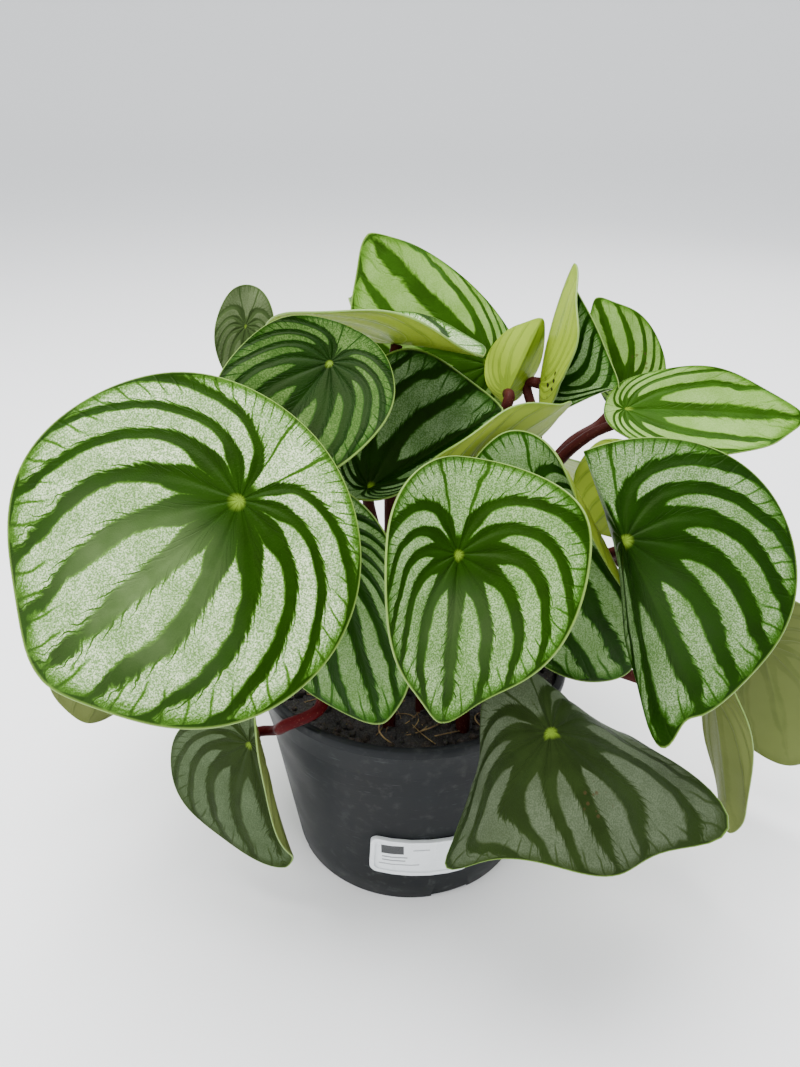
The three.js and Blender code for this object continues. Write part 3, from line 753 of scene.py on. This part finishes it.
class Value:
    """What a node hands on. Reckoning with it adds the nodes that this takes."""

    def __init__(self, socket):
        self.socket = socket
        self.tree = socket.id_data

    def maths(self, operation, other=0.0):
        made = add_node(self.tree, "Math", {0: self, 1: other}, operation=operation)
        return Value(made.outputs[0])

    def __add__(self, other):
        return self.maths("ADD", other)

    def __sub__(self, other):
        return self.maths("SUBTRACT", other)

    def __rsub__(self, other):
        return self * -1.0 + other

    def __mul__(self, other):
        return self.maths("MULTIPLY", other)

    def __pow__(self, other):
        return self.maths("POWER", other)

    def __abs__(self):
        return self.maths("ABSOLUTE")

    def from_half(self):
        """How far it is beyond the middle between two whole numbers."""
        return self.maths("FRACT") - 0.5

    def mapped(self, low, high, to_low=0.0, to_high=1.0, smooth=True):
        """The value mapped from one range to another and kept within it."""
        made = add_node(
            self.tree, "MapRange",
            {"Value": self, "From Min": low, "From Max": high, "To Min": to_low, "To Max": to_high},
            interpolation_type="SMOOTHSTEP" if smooth else "LINEAR", clamp=True,
        )
        return Value(made.outputs["Result"])

    def falling(self, low, high):
        """From 1 at the low end of a range to 0 at its high end."""
        return self.mapped(low, high, 1.0, 0.0)

    def spread(self, low, high):
        """A grain's usual range, stretched from low to high."""
        return self.mapped(*GRAIN_RANGE, low, high)

    def mix(self, first, second):
        """A mix of two colours by this share of the second."""
        made = add_node(self.tree, "Mix", {0: self, 6: first, 7: second}, data_type="RGBA")
        return Value(made.outputs[2])

    def axis(self, letter):
        return Value(add_node(self.tree, "SeparateXYZ", {"Vector": self}).outputs[letter])


def joined(x, y, z=0.0):
    """A place made of its parts."""
    return Value(add_node(x.tree, "CombineXYZ", {"X": x, "Y": y, "Z": z}).outputs[0])


def noise(place, scale, detail=3.0, roughness=0.55):
    inputs = {"Vector": place, "Scale": scale, "Detail": detail, "Roughness": roughness}
    return Value(add_node(place.tree, "TexNoise", inputs).outputs["Fac"])


def ramp(value, stops):
    """A straight colour ramp with the given (place, colour) stops."""
    made = add_node(value.tree, "ValToRGB", {"Fac": value})
    made.color_ramp.interpolation = "LINEAR"
    elements = made.color_ramp.elements
    while len(elements) < len(stops):
        elements.new(0.5)
    for element, (place, color) in zip(elements, stops):
        element.position = place
        element.color = color
    return Value(made.outputs["Color"])


def uv(tree, layer):
    return Value(add_node(tree, "UVMap", {}, uv_map=layer).outputs["UV"])


def rgb(red, green, blue):
    """A colour from 0 to 255 as seen on a screen, made linear."""
    def linear(value):
        value /= 255
        return value / 12.92 if value <= 0.04045 else ((value + 0.055) / 1.055) ** 2.4
    return (linear(red), linear(green), linear(blue), 1)


def scaled(color, factor):
    """A darker or lighter colour."""
    return tuple(min(1, factor * part) for part in color[:3]) + (1,)


def new_group(name, inputs, outputs):
    """An empty shader node group: its sockets are numbers, but Place and Flat are vectors."""
    group = bpy.data.node_groups.new(name, "ShaderNodeTree")
    for in_out, labels in (("INPUT", inputs), ("OUTPUT", outputs)):
        for label in labels:
            kind = "NodeSocketVector" if label in ("Place", "Flat") else "NodeSocketFloat"
            group.interface.new_socket(label, in_out=in_out, socket_type=kind)
    entry = group.nodes.new("NodeGroupInput")
    return group, {label: Value(entry.outputs[label]) for label in inputs}


def finish_group(group, values):
    """Hands the values on through the group's outputs."""
    feed(group.nodes.new("NodeGroupOutput"), values)
    return group


def use_group(tree, group, inputs):
    made = add_node(tree, "Group", inputs, node_tree=group)
    return {socket.name: Value(socket) for socket in made.outputs}


def new_material(name):
    """A material with its node tree and its Principled BSDF."""
    material = bpy.data.materials.new(name)
    material.use_nodes = True
    tree = material.node_tree
    return material, tree, tree.nodes["Principled BSDF"]


def coat(shader, color, roughness, reflection=0.5):
    """Gives a surface its colour, its roughness and how strongly it reflects."""
    feed(shader, {"Base Color": color, "Roughness": roughness, "Specular IOR Level": reflection})


def relief(shader, strength, depth, height):
    """Bumps the surface by a height, as deep as depth in millimetres."""
    inputs = {"Strength": strength, "Distance": depth * MM, "Height": height}
    bump = add_node(height.tree, "Bump", inputs)
    feed(shader, {"Normal": Value(bump.outputs["Normal"])})


# How far from a vein the silver begins, by the share of the way out from the heart
SILVER_EDGE = (
    (0.0, 1.0), (0.2, 0.98), (0.27, 0.74), (0.34, 0.46),
    (0.45, 0.34), (0.6, 0.29), (0.8, 0.24), (1.0, 0.12),
)
LEANING_VEINS = 14.0
MARGIN_VEINS = 30.0
HIND_RIBS = 8.0


def main_veins(given):
    """Veins that fan out from the heart and bow to the tip.

    Gives the place's wavy ray, its count of veins from the midrib, and how far it lies from the nearest
    vein, with its side and without.
    """
    wobble = noise(given["Place"], 90.0) * 0.07 - 0.035
    ray = (given["Ray"] + wobble * given["Share"]).mapped(0.0, 1.0, smooth=False)
    bow = given["Share"] ** 3.4 * VEIN_BOW + 1.0
    start = 1.0 - (1.0 - ray) ** bow
    turn = start * (given["Veins"] * 0.5) + 0.5
    offset = turn.from_half()
    return ray, turn, offset, abs(offset) * 2.0


def silver_between(given, ray, turn, offset, distance):
    """Silver between two veins, with a ragged edge; it stays clear of the heart and fades at the margin."""
    share = given["Share"]
    curve = add_node(share.tree, "FloatCurve", {"Factor": 1.0, "Value": share * (ray * -0.42 + 1.0)})
    line = curve.mapping.curves[0]
    line.points[0].location = SILVER_EDGE[0]
    line.points[1].location = SILVER_EDGE[-1]
    for place, height in SILVER_EDGE[1:-1]:
        line.points.new(place, height)
    curve.mapping.update()
    width = given["Width"] * ray.mapped(0.5, 1.0, 1.0, 0.55)
    limit = Value(curve.outputs[0]) * width + share.mapped(0.965, 0.995, 0.0, 0.7)
    teeth = joined((distance * -0.2 + share) * 60.0, turn * 2.2, distance)
    feather = noise(teeth, 1.0, 4.0, 0.65) - 0.5
    ragged = given["Feather"] * offset.mapped(-0.1, 0.1, 0.4, 1.1)
    silver = (feather * ragged + distance - limit).mapped(-0.05, 0.15)
    border = (feather * 0.12 + share).mapped(0.91, 0.985, 1.0, 0.3)
    star = (feather * 0.16 + share).mapped(0.15, 0.26)
    return silver * border * star


def side_veins(given, ray, offset, distance):
    """Thin veins: leaning ones on a vein's hollow side, short ones at the margin, ribs behind the heart."""
    share = given["Share"]
    stray = noise(given["Place"], 60.0, 2.0) * 1.2
    saw = abs(((distance * -0.3 + share) * LEANING_VEINS + stray).from_half())
    thin = (saw - distance.mapped(0.2, 0.8, 0.16, 0.0)).mapped(-0.05, 0.05, 1.0, 0.0)
    fade = distance.falling(0.35, 0.95) * distance.mapped(0.12, 0.3)
    leaning = thin * fade * offset.mapped(-0.1, 0.02)
    comb = abs((given["Ray"] * MARGIN_VEINS + stray).from_half())
    short = comb.mapped(0.0, 0.12, 0.9, 0.0) * share.mapped(0.78, 0.88)
    rib = abs((ray * HIND_RIBS + stray * 0.3).from_half())
    hind = rib.falling(0.03, 0.09) * ray.mapped(0.86, 0.9)
    return leaning.maths("MAXIMUM", short).maths("MAXIMUM", hind)


def vein_group():
    """The blade's pattern: how far from a main vein, where silver lies, and the side veins in it."""
    group, given = new_group(
        "Blade veins", ("Ray", "Share", "Place", "Veins", "Width", "Feather"),
        ("Distance", "Silver", "Side veins"),
    )
    ray, turn, offset, distance = main_veins(given)
    return finish_group(group, {
        "Distance": distance,
        "Silver": silver_between(given, ray, turn, offset, distance),
        "Side veins": side_veins(given, ray, offset, distance),
    })


def grain_group():
    """Fine uneven grain: a soft broad blotch and a sharp small speckle."""
    labels = ("Place", "Speckles in a metre", "Blotches in a metre")
    group, given = new_group("Fine grain", labels, ("Speckle", "Blotch"))
    place, speckles, blotches = (given[label] for label in labels)
    return finish_group(group, {
        "Speckle": noise(place, speckles, 2.0, 0.6),
        "Blotch": noise(place, blotches, 3.0, 0.5),
    })


def bar_group():
    """A printed bar: 1 inside a rectangle of the label's flat coordinates."""
    group, given = new_group("Printed bar", ("Flat", "Across", "Up", "Width", "Height"), ("Ink",))
    inks = [
        abs(given["Flat"].axis(letter) - given[middle]).maths("LESS_THAN", given[size] * 0.5)
        for letter, middle, size in (("X", "Across", "Width"), ("Y", "Up", "Height"))
    ]
    return finish_group(group, {"Ink": inks[0] * inks[1]})


VEIN_GROUP = vein_group()
GRAIN_GROUP = grain_group()
BAR_GROUP = bar_group()


def place_and_grain(tree, speckle_size, blotch_size):
    """The place on the piece and its speckle and blotch, with their sizes in millimetres."""
    place = Value(add_node(tree, "TexCoord", {}).outputs["Object"])
    grain = use_group(tree, GRAIN_GROUP, {
        "Place": place,
        "Speckles in a metre": 1 / (speckle_size * MM),
        "Blotches in a metre": 1 / (blotch_size * MM),
    })
    return place, grain["Speckle"], grain["Blotch"]


def blemishes(place, centre, reach, size):
    """Small torn marks a few mm apart near one place on a blade."""
    inputs = {0: place, 1: [part * MM for part in centre]}
    away = add_node(place.tree, "VectorMath", inputs, operation="DISTANCE").outputs["Value"]
    near = Value(away).mapped(0.7 * reach * MM, reach * MM, 1.0, 0.0)
    cells = add_node(place.tree, "TexVoronoi", {"Vector": place, "Scale": 1 / (size * MM)})
    return near * Value(cells.outputs["Distance"]).falling(0.18, 0.27)


def blade_pattern(tree, place, veins, width, feather):
    """The ray and the share of a place on a blade, and what the veins do there."""
    rays = uv(tree, "rays")
    ray, share = rays.axis("X"), rays.axis("Y")
    pattern = use_group(tree, VEIN_GROUP, {
        "Ray": ray, "Share": share, "Place": place, "Veins": veins, "Width": width, "Feather": feather,
    })
    return ray, share, pattern


def blade_upper(
    name, dark, green, grey, silver, width=1.0, feather=0.45, veins=VEINS, rough=0.4, grainy=1.0, painted_sheen=0.0,
    sides=0.8, scar=None,
):
    """The striped upper side, from dark veins to speckled silver.

    width and feather are how wide and how ragged the dark bands are, grainy how speckled the silver is,
    the sheen strength how strong the painted sheen along the midrib, standing in for the lamps' reflection,
    sides how dark the side veins, and scar a torn place.
    """
    material, tree, shader = new_material(name)
    place, speckle, blotch = place_and_grain(tree, 0.45, 9)
    ray, share, pattern = blade_pattern(tree, place, veins, width, feather)
    body = pattern["Silver"] * speckle.mapped(0.36, 0.66, 1.0 - 0.55 * grainy, 1.0)
    body = body * (pattern["Side veins"] * -sides + 1.0) * blotch.mapped(0.3, 0.75, 0.8, 1.06)
    pale_stops = [(0.28, green), (0.62, grey), (1.0, silver)]
    even = ramp(body, [(0.0, dark), *pale_stops])
    deep = ramp(body, [(0.0, scaled(dark, 0.72)), *pale_stops])
    color = blotch.mapped(0.35, 0.7).mix(even, deep)
    # Painted sheen: a pale veil along the midrib, strongest over the dark bands, stands in for the lamps'
    # reflection.
    if painted_sheen:
        reach = share.mapped(0.05, 0.4) * share.mapped(0.6, 0.9, 1.0, 0.2)
        sheen_veil = ray.falling(0.02, 0.34) * reach
        sheen_veil = sheen_veil * pattern["Silver"].mapped(0.0, 1.0, painted_sheen, 0.2 * painted_sheen)
        color = (sheen_veil * blotch.spread(0.6, 1.0)).mix(color, SHEEN_VEIL_COLOR)
    color = (share.mapped(0.984, 0.997) * 0.75).mix(color, PALE_RIM)
    color = share.mapped(0.015, 0.06, 0.85, 0.0).mix(color, HEART_SPOT)
    if scar:
        color = (blemishes(place, scar, 6, 2.6) * 0.6).mix(color, BROWN_SCAR)
    uneven = pattern["Silver"] * 0.25 + speckle
    coat(shader, color, uneven.mapped(0.2, 0.9, rough - 0.07, rough + 0.12, smooth=False), 0.08)
    feed(shader, {"Specular Tint": GREEN_SHEEN})
    swelling = pattern["Distance"].mapped(0.0, 0.5, 0.0, 0.6)
    relief(shader, 0.8, 0.45, speckle * 0.35 + swelling - pattern["Side veins"] * 0.35)
    return material


def blade_under(name, pale, deep, veins=VEINS, specks=None):
    """The yellow-green underside, with the stripes showing through faintly."""
    material, tree, shader = new_material(name)
    place, speckle, blotch = place_and_grain(tree, 0.8, 9)
    _, _, pattern = blade_pattern(tree, place, veins, 1.0, 0.3)
    cloudy = (pattern["Silver"] * -0.4 + 0.62) * blotch.mapped(0.3, 0.75, 0.7, 1.25)
    ridge = pattern["Distance"].mapped(0.0, 0.09, 0.2, 0.0)
    color = ridge.mix(cloudy.mix(pale, deep), scaled(pale, 1.25))
    if specks:
        color = blemishes(place, specks, 9, 4.0).mix(color, BLACK_SPECK)
    coat(shader, color, speckle.spread(0.39, 0.53), 0.12)
    relief(shader, 0.5, 0.3, speckle * 0.3 + pattern["Distance"].falling(0.0, 0.2))
    return material


def blade_margin():
    """The pale green edge all round a blade."""
    material, tree, shader = new_material("blade_margin")
    _, speckle, blotch = place_and_grain(tree, 0.45, 9)
    coat(shader, blotch.mix(rgb(122, 150, 62), rgb(92, 126, 44)), speckle.spread(0.36, 0.5))
    return material


def stalk_skin(name, low, high, streak):
    """A succulent stalk: darker at the soil, streaked along its run, with small pale flecks."""
    material, tree, shader = new_material(name)
    run = uv(tree, "run")
    round_it, along = run.axis("X"), run.axis("Y")
    _, speckle, blotch = place_and_grain(tree, 0.7, 6)
    streaks = noise(joined(round_it * 3.0, along * 5.0), 2.0, 4.0)
    color = along.mapped(0.1, 0.95).mix(low, high)
    color = streaks.mapped(0.45, 0.75, 0.0, 0.7).mix(color, streak)
    color = speckle.mapped(0.62, 0.72, 0.0, 0.2).mix(color, rgb(150, 110, 90))
    coat(shader, color, blotch.spread(0.45, 0.6), 0.05)
    relief(shader, 0.4, 0.2, speckle)
    return material


def pot_plastic():
    """Dark blue-grey moulded plastic, a little scuffed, and dusty, most of all above its foot."""
    material, tree, shader = new_material("pot_plastic")
    place, speckle, blotch = place_and_grain(tree, 0.5, 22)
    color = blotch.mapped(0.3, 0.72).mix(rgb(12, 14, 16), rgb(19, 22, 24))
    low_down = place.axis("Z").mapped(0.0, 0.03, 1.0, 0.35)
    dust = noise(place, 260.0, 4.0).mapped(0.52, 0.75, 0.0, 0.5) * low_down
    color = dust.mix(color, rgb(82, 84, 82))
    stretched = add_node(tree, "Mapping", {
        "Vector": place, "Rotation": (0.2, 0.5, 0.1), "Scale": (30.0, 30.0, 420.0),
    })
    scratches = noise(Value(stretched.outputs[0]), 4.0, 2.0).mapped(0.68, 0.74, 0.0, 0.25)
    coat(shader, scratches.mix(color, rgb(84, 88, 90)), blotch.spread(0.42, 0.54) + dust * 0.3, 0.14)
    relief(shader, 0.3, 0.3, blotch * 0.8 + speckle * 0.25)
    return material


def soil_earth(name, dark, light, fleck):
    """Moist peat: dark crumbs with lighter bark and pale flecks."""
    material, tree, shader = new_material(name)
    _, speckle, blotch = place_and_grain(tree, 0.9, 5)
    color = blotch.mapped(0.38, 0.66).mix(dark, light)
    color = speckle.mapped(0.63, 0.72, 0.0, 0.6).mix(color, fleck)
    coat(shader, color, speckle.spread(0.6, 0.95))
    relief(shader, 0.9, 0.8, speckle)
    return material


# The label's print: where the middle of each bar is, how wide and how high the bar is, and its ink
PRINTED_BARS = (
    ((0.58, 0.74, 0.22, 0.25), rgb(34, 36, 38)),
    ((0.56, 0.52, 0.25, 0.035), rgb(118, 122, 124)),
    ((0.57, 0.42, 0.23, 0.035), rgb(118, 122, 124)),
    ((0.52, 0.3, 0.4, 0.035), rgb(146, 150, 152)),
    ((0.3, 0.74, 0.16, 0.04), rgb(150, 154, 156)),
)


def label_film():
    """White film with a plain dark square and plain grey bars for its print."""
    material, tree, shader = new_material("label_film")
    flat = uv(tree, "print")
    _, _, blotch = place_and_grain(tree, 0.6, 14)
    color = blotch.mix(rgb(226, 230, 232), rgb(204, 209, 212))
    for sizes, ink in PRINTED_BARS:
        bar = dict(zip(("Across", "Up", "Width", "Height"), sizes), Flat=flat)
        color = use_group(tree, BAR_GROUP, bar)["Ink"].mix(color, ink)
    coat(shader, color, blotch.spread(0.24, 0.38))
    relief(shader, 0.2, 0.3, blotch)
    return material


def studio_paper():
    """Pale paper, with painted shade that makes it a little darker far behind."""
    material, tree, shader = new_material("studio_paper")
    place = Value(add_node(tree, "TexCoord", {}).outputs["Object"])
    floor = noise(place, 3.0, 2.0).mix(rgb(252, 252, 253), rgb(250, 250, 251))
    # Painted shade: the paper darkens far behind, where less of the lamps' light would reach.
    far_painted_shade = place.axis("Y").mapped(0.1, 1.6)
    coat(shader, far_painted_shade.mix(floor, rgb(236, 237, 238)), 0.8)
    return material


# The colours and finishes of the blades and the stalks

# The pale veil of the painted sheen, standing in for the lamps' reflection on the blades
SHEEN_VEIL_COLOR = rgb(128, 152, 100)
PALE_RIM = rgb(116, 148, 66)
HEART_SPOT = rgb(112, 142, 40)
BROWN_SCAR = rgb(64, 48, 30)
BLACK_SPECK = rgb(22, 22, 14)
GREEN_SHEEN = (0.75, 1, 0.35, 1)
DARK = rgb(19, 48, 0)
CLOSE_VEINS = 13.3

MATURE = blade_upper(
    "blade_mature", DARK, rgb(62, 100, 26), rgb(126, 156, 102), rgb(206, 222, 182),
    painted_sheen=0.36, grainy=0.95,
)
CENTRE = blade_upper(
    "blade_centre", DARK, rgb(52, 90, 20), rgb(98, 130, 74), rgb(156, 182, 130),
    width=1.15, painted_sheen=0.15, grainy=0.9,
)
STRIPED = blade_upper(
    "blade_striped", rgb(13, 42, 0), rgb(42, 78, 14), rgb(84, 112, 64), rgb(138, 160, 120),
    width=1.5, painted_sheen=0.05, grainy=0.85,
)
# Painted shade: the narrow blades between and behind the front ones, and the folded young one, get darker
# colours for the shade they lie in; their close veins and wide bands are their own.
NARROW_IN_SHADE = blade_upper(
    "blade_narrow_painted_shade", rgb(14, 46, 2), rgb(40, 82, 12), rgb(84, 116, 60), rgb(132, 158, 112),
    width=1.35, veins=CLOSE_VEINS, grainy=0.6,
)
SHADY = blade_upper(
    "blade_shaded", rgb(8, 36, 0), rgb(28, 66, 8), rgb(70, 100, 52), rgb(118, 142, 102),
    width=1.15, grainy=0.6,
)
# Painted shade: the upper left blade lies in shade, so its colours are darker; its wide dark bands are its
# own pattern.
STARRED_IN_SHADE = blade_upper(
    "blade_starred_painted_shade", rgb(6, 34, 0), rgb(22, 58, 2), rgb(50, 78, 28), rgb(86, 110, 60),
    width=1.6, grainy=0.7,
)
# Painted shade: the small blade far behind on the left gets dim, low-contrast colours for the shade it lies
# in.
FAINT_IN_SHADE = blade_upper(
    "blade_faint_painted_shade", rgb(50, 66, 34), rgb(60, 76, 42), rgb(72, 86, 54), rgb(90, 102, 72),
    width=1.2, rough=0.5, grainy=0.5,
)
# Painted shade: the low blades near the soil get dim, greyed colours for the shade beneath the plant.
DIM = blade_upper(
    "blade_dusky_painted_shade", rgb(34, 48, 18), rgb(46, 60, 30), rgb(60, 74, 48), rgb(80, 94, 68),
    width=1.2, rough=0.5, grainy=0.6,
)
# Painted shade: the low front blade faces down into shade, so its colours are dark and grey; its brown scar
# is a real torn place.
GREYED_IN_SHADE = blade_upper(
    "blade_greyed_painted_shade", rgb(30, 44, 16), rgb(44, 56, 30), rgb(60, 70, 50), rgb(80, 90, 70),
    width=1.2, rough=0.5, grainy=0.6, scar=(53, -91, 99),
)
FRESH = blade_upper(
    "blade_young", rgb(38, 72, 8), rgb(72, 112, 28), rgb(102, 138, 58), rgb(130, 162, 88),
    width=1.2, feather=0.25, rough=0.36, grainy=0.45, sides=0.35, scar=(89, 50, 183),
)
UNDER = blade_under("blade_underside", rgb(138, 158, 48), rgb(90, 116, 26))
UNDER_YOUNG = blade_under(
    "blade_underside_young", rgb(140, 162, 44), rgb(96, 122, 24), veins=CLOSE_VEINS, specks=(49, 11, 190),
)
UNDER_OLIVE = blade_under("blade_underside_olive", rgb(102, 112, 58), rgb(80, 92, 40))
MARGIN = blade_margin()
STALK = stalk_skin("stalk_red_brown", rgb(48, 16, 14), rgb(60, 24, 20), rgb(36, 12, 10))
STALK_BRIGHT = stalk_skin("stalk_bright_red", rgb(60, 4, 8), rgb(62, 8, 10), rgb(42, 4, 6))

YOUNG = {"top_back", "right_back", "right_flat", "upright_folded", "young_cupped", "back_top"}
UPPERS = {
    "front_centre": CENTRE, "front_right": STRIPED, "upper_left": STARRED_IN_SHADE, "back_left_small": FAINT_IN_SHADE,
    "between_front": NARROW_IN_SHADE, "behind_centre": NARROW_IN_SHADE, "upright_folded": NARROW_IN_SHADE,
    "middle": SHADY, "middle_edge": SHADY,
    "low_front": GREYED_IN_SHADE, "low_left": DIM, "back_low_left": DIM, "back_low_right": DIM,
}


def make_plant():
    """All leaves: each blade in its own finish, on its stalk."""
    disc = blade_blank()
    tube = stalk_blank()
    for leaf in LEAVES:
        name = leaf["name"]
        upper = UPPERS.get(name, FRESH if name in YOUNG else MATURE)
        if name in YOUNG:
            under = UNDER_YOUNG
        elif name.startswith("low_"):
            under = UNDER_OLIVE
        else:
            under = UNDER
        axes = make_blade(leaf, disc, [upper, under, MARGIN])
        make_stalk(leaf, axes, tube, STALK_BRIGHT if name == "low_left" else STALK)
    for blank in (disc, tube):
        bpy.data.objects.remove(blank)


make_plant()
make_pot(pot_plastic())
# The peat's near-black colours are partly its own moist tone and partly painted shade from the leaves
# above.
make_soil(soil_earth("soil_peat_and_shade", rgb(8, 6, 5), rgb(22, 17, 12), rgb(70, 58, 40)))
make_crumbs(soil_earth("soil_crumb", rgb(14, 11, 8), rgb(42, 31, 22), rgb(100, 86, 58)))
make_fibres(soil_earth("soil_fibre", rgb(96, 76, 46), rgb(134, 112, 70), rgb(160, 142, 96)))
make_label(label_film())


# The studio, in metres

PAPER_SIZE = (5, 4, 1)
PAPER_PLACE = (0, 0.2, -0.0006)
PAPER_CURVE = ((0.08, 0.35), (0.25, 0.3), (0.4, 0.2), (1.6, 0.1))
AIR_COLOR = (0.86, 0.88, 0.9, 1)
AIR_STRENGTH = 1.5
CAMERA_PLACE = (-0.004, -0.27, 0.286)
CAMERA_TILT = 61
LENS = 29
SENSOR_WIDTH = 36


def make_studio():
    """A seamless pale paper: a wide floor that curves up far behind."""
    clear_selection()
    bpy.ops.mesh.primitive_plane_add(size=1)
    paper = bpy.context.object
    paper.name = "studio_floor"
    paper.scale = PAPER_SIZE
    paper.location = PAPER_PLACE
    bpy.ops.object.transform_apply(location=True, scale=True)
    bpy.ops.object.mode_set(mode="EDIT")
    bpy.ops.mesh.select_mode(type="VERT")
    bpy.ops.mesh.select_all(action="DESELECT")
    bpy.ops.object.mode_set(mode="OBJECT")
    for vertex in paper.data.vertices:
        vertex.select = vertex.co.y > 1
    bpy.ops.object.mode_set(mode="EDIT")
    for rise, back in PAPER_CURVE:
        bpy.ops.mesh.extrude_region_move(TRANSFORM_OT_translate={"value": (0, back, rise)})
    bpy.ops.object.mode_set(mode="OBJECT")
    apply_modifier(paper, "SUBSURF", levels=2, render_levels=2)
    paper.data.materials.append(studio_paper())
    paper.data.shade_smooth()


def area_light(name, place, target, size, power):
    """A square soft light at a place that faces a target."""
    light = bpy.data.lights.new(name, "AREA")
    light.size = size
    light.energy = power
    lamp = new_object(name, light)
    lamp.location = place
    aim = np.array(target, float) - np.array(place, float)
    tilt = math.atan2(math.hypot(aim[0], aim[1]), -aim[2])
    lamp.rotation_euler = (tilt, 0, math.atan2(-aim[0], aim[1]))


make_studio()
area_light("light_top", (-0.1, 0.1, 1.1), (0, 0, 0.1), 0.9, 24)
area_light("light_front", (-0.62, -0.8, 0.75), (-0.02, 0, 0.12), 0.6, 6)
area_light("light_back", (0.6, 0.9, 0.7), (0, 0, 0.15), 0.7, 3)

world = bpy.data.worlds.new("studio_air")
world.use_nodes = True
background = world.node_tree.nodes["Background"]
background.inputs["Color"].default_value = AIR_COLOR
background.inputs["Strength"].default_value = AIR_STRENGTH
bpy.context.scene.world = world

camera = bpy.data.cameras.new("camera")
camera.lens = LENS
camera.sensor_width = SENSOR_WIDTH
camera.clip_start = 0.01
eye = new_object("camera", camera)
eye.location = CAMERA_PLACE
eye.rotation_euler = (math.radians(CAMERA_TILT), 0, 0)
bpy.context.scene.camera = eye

bpy.context.view_layer.update()
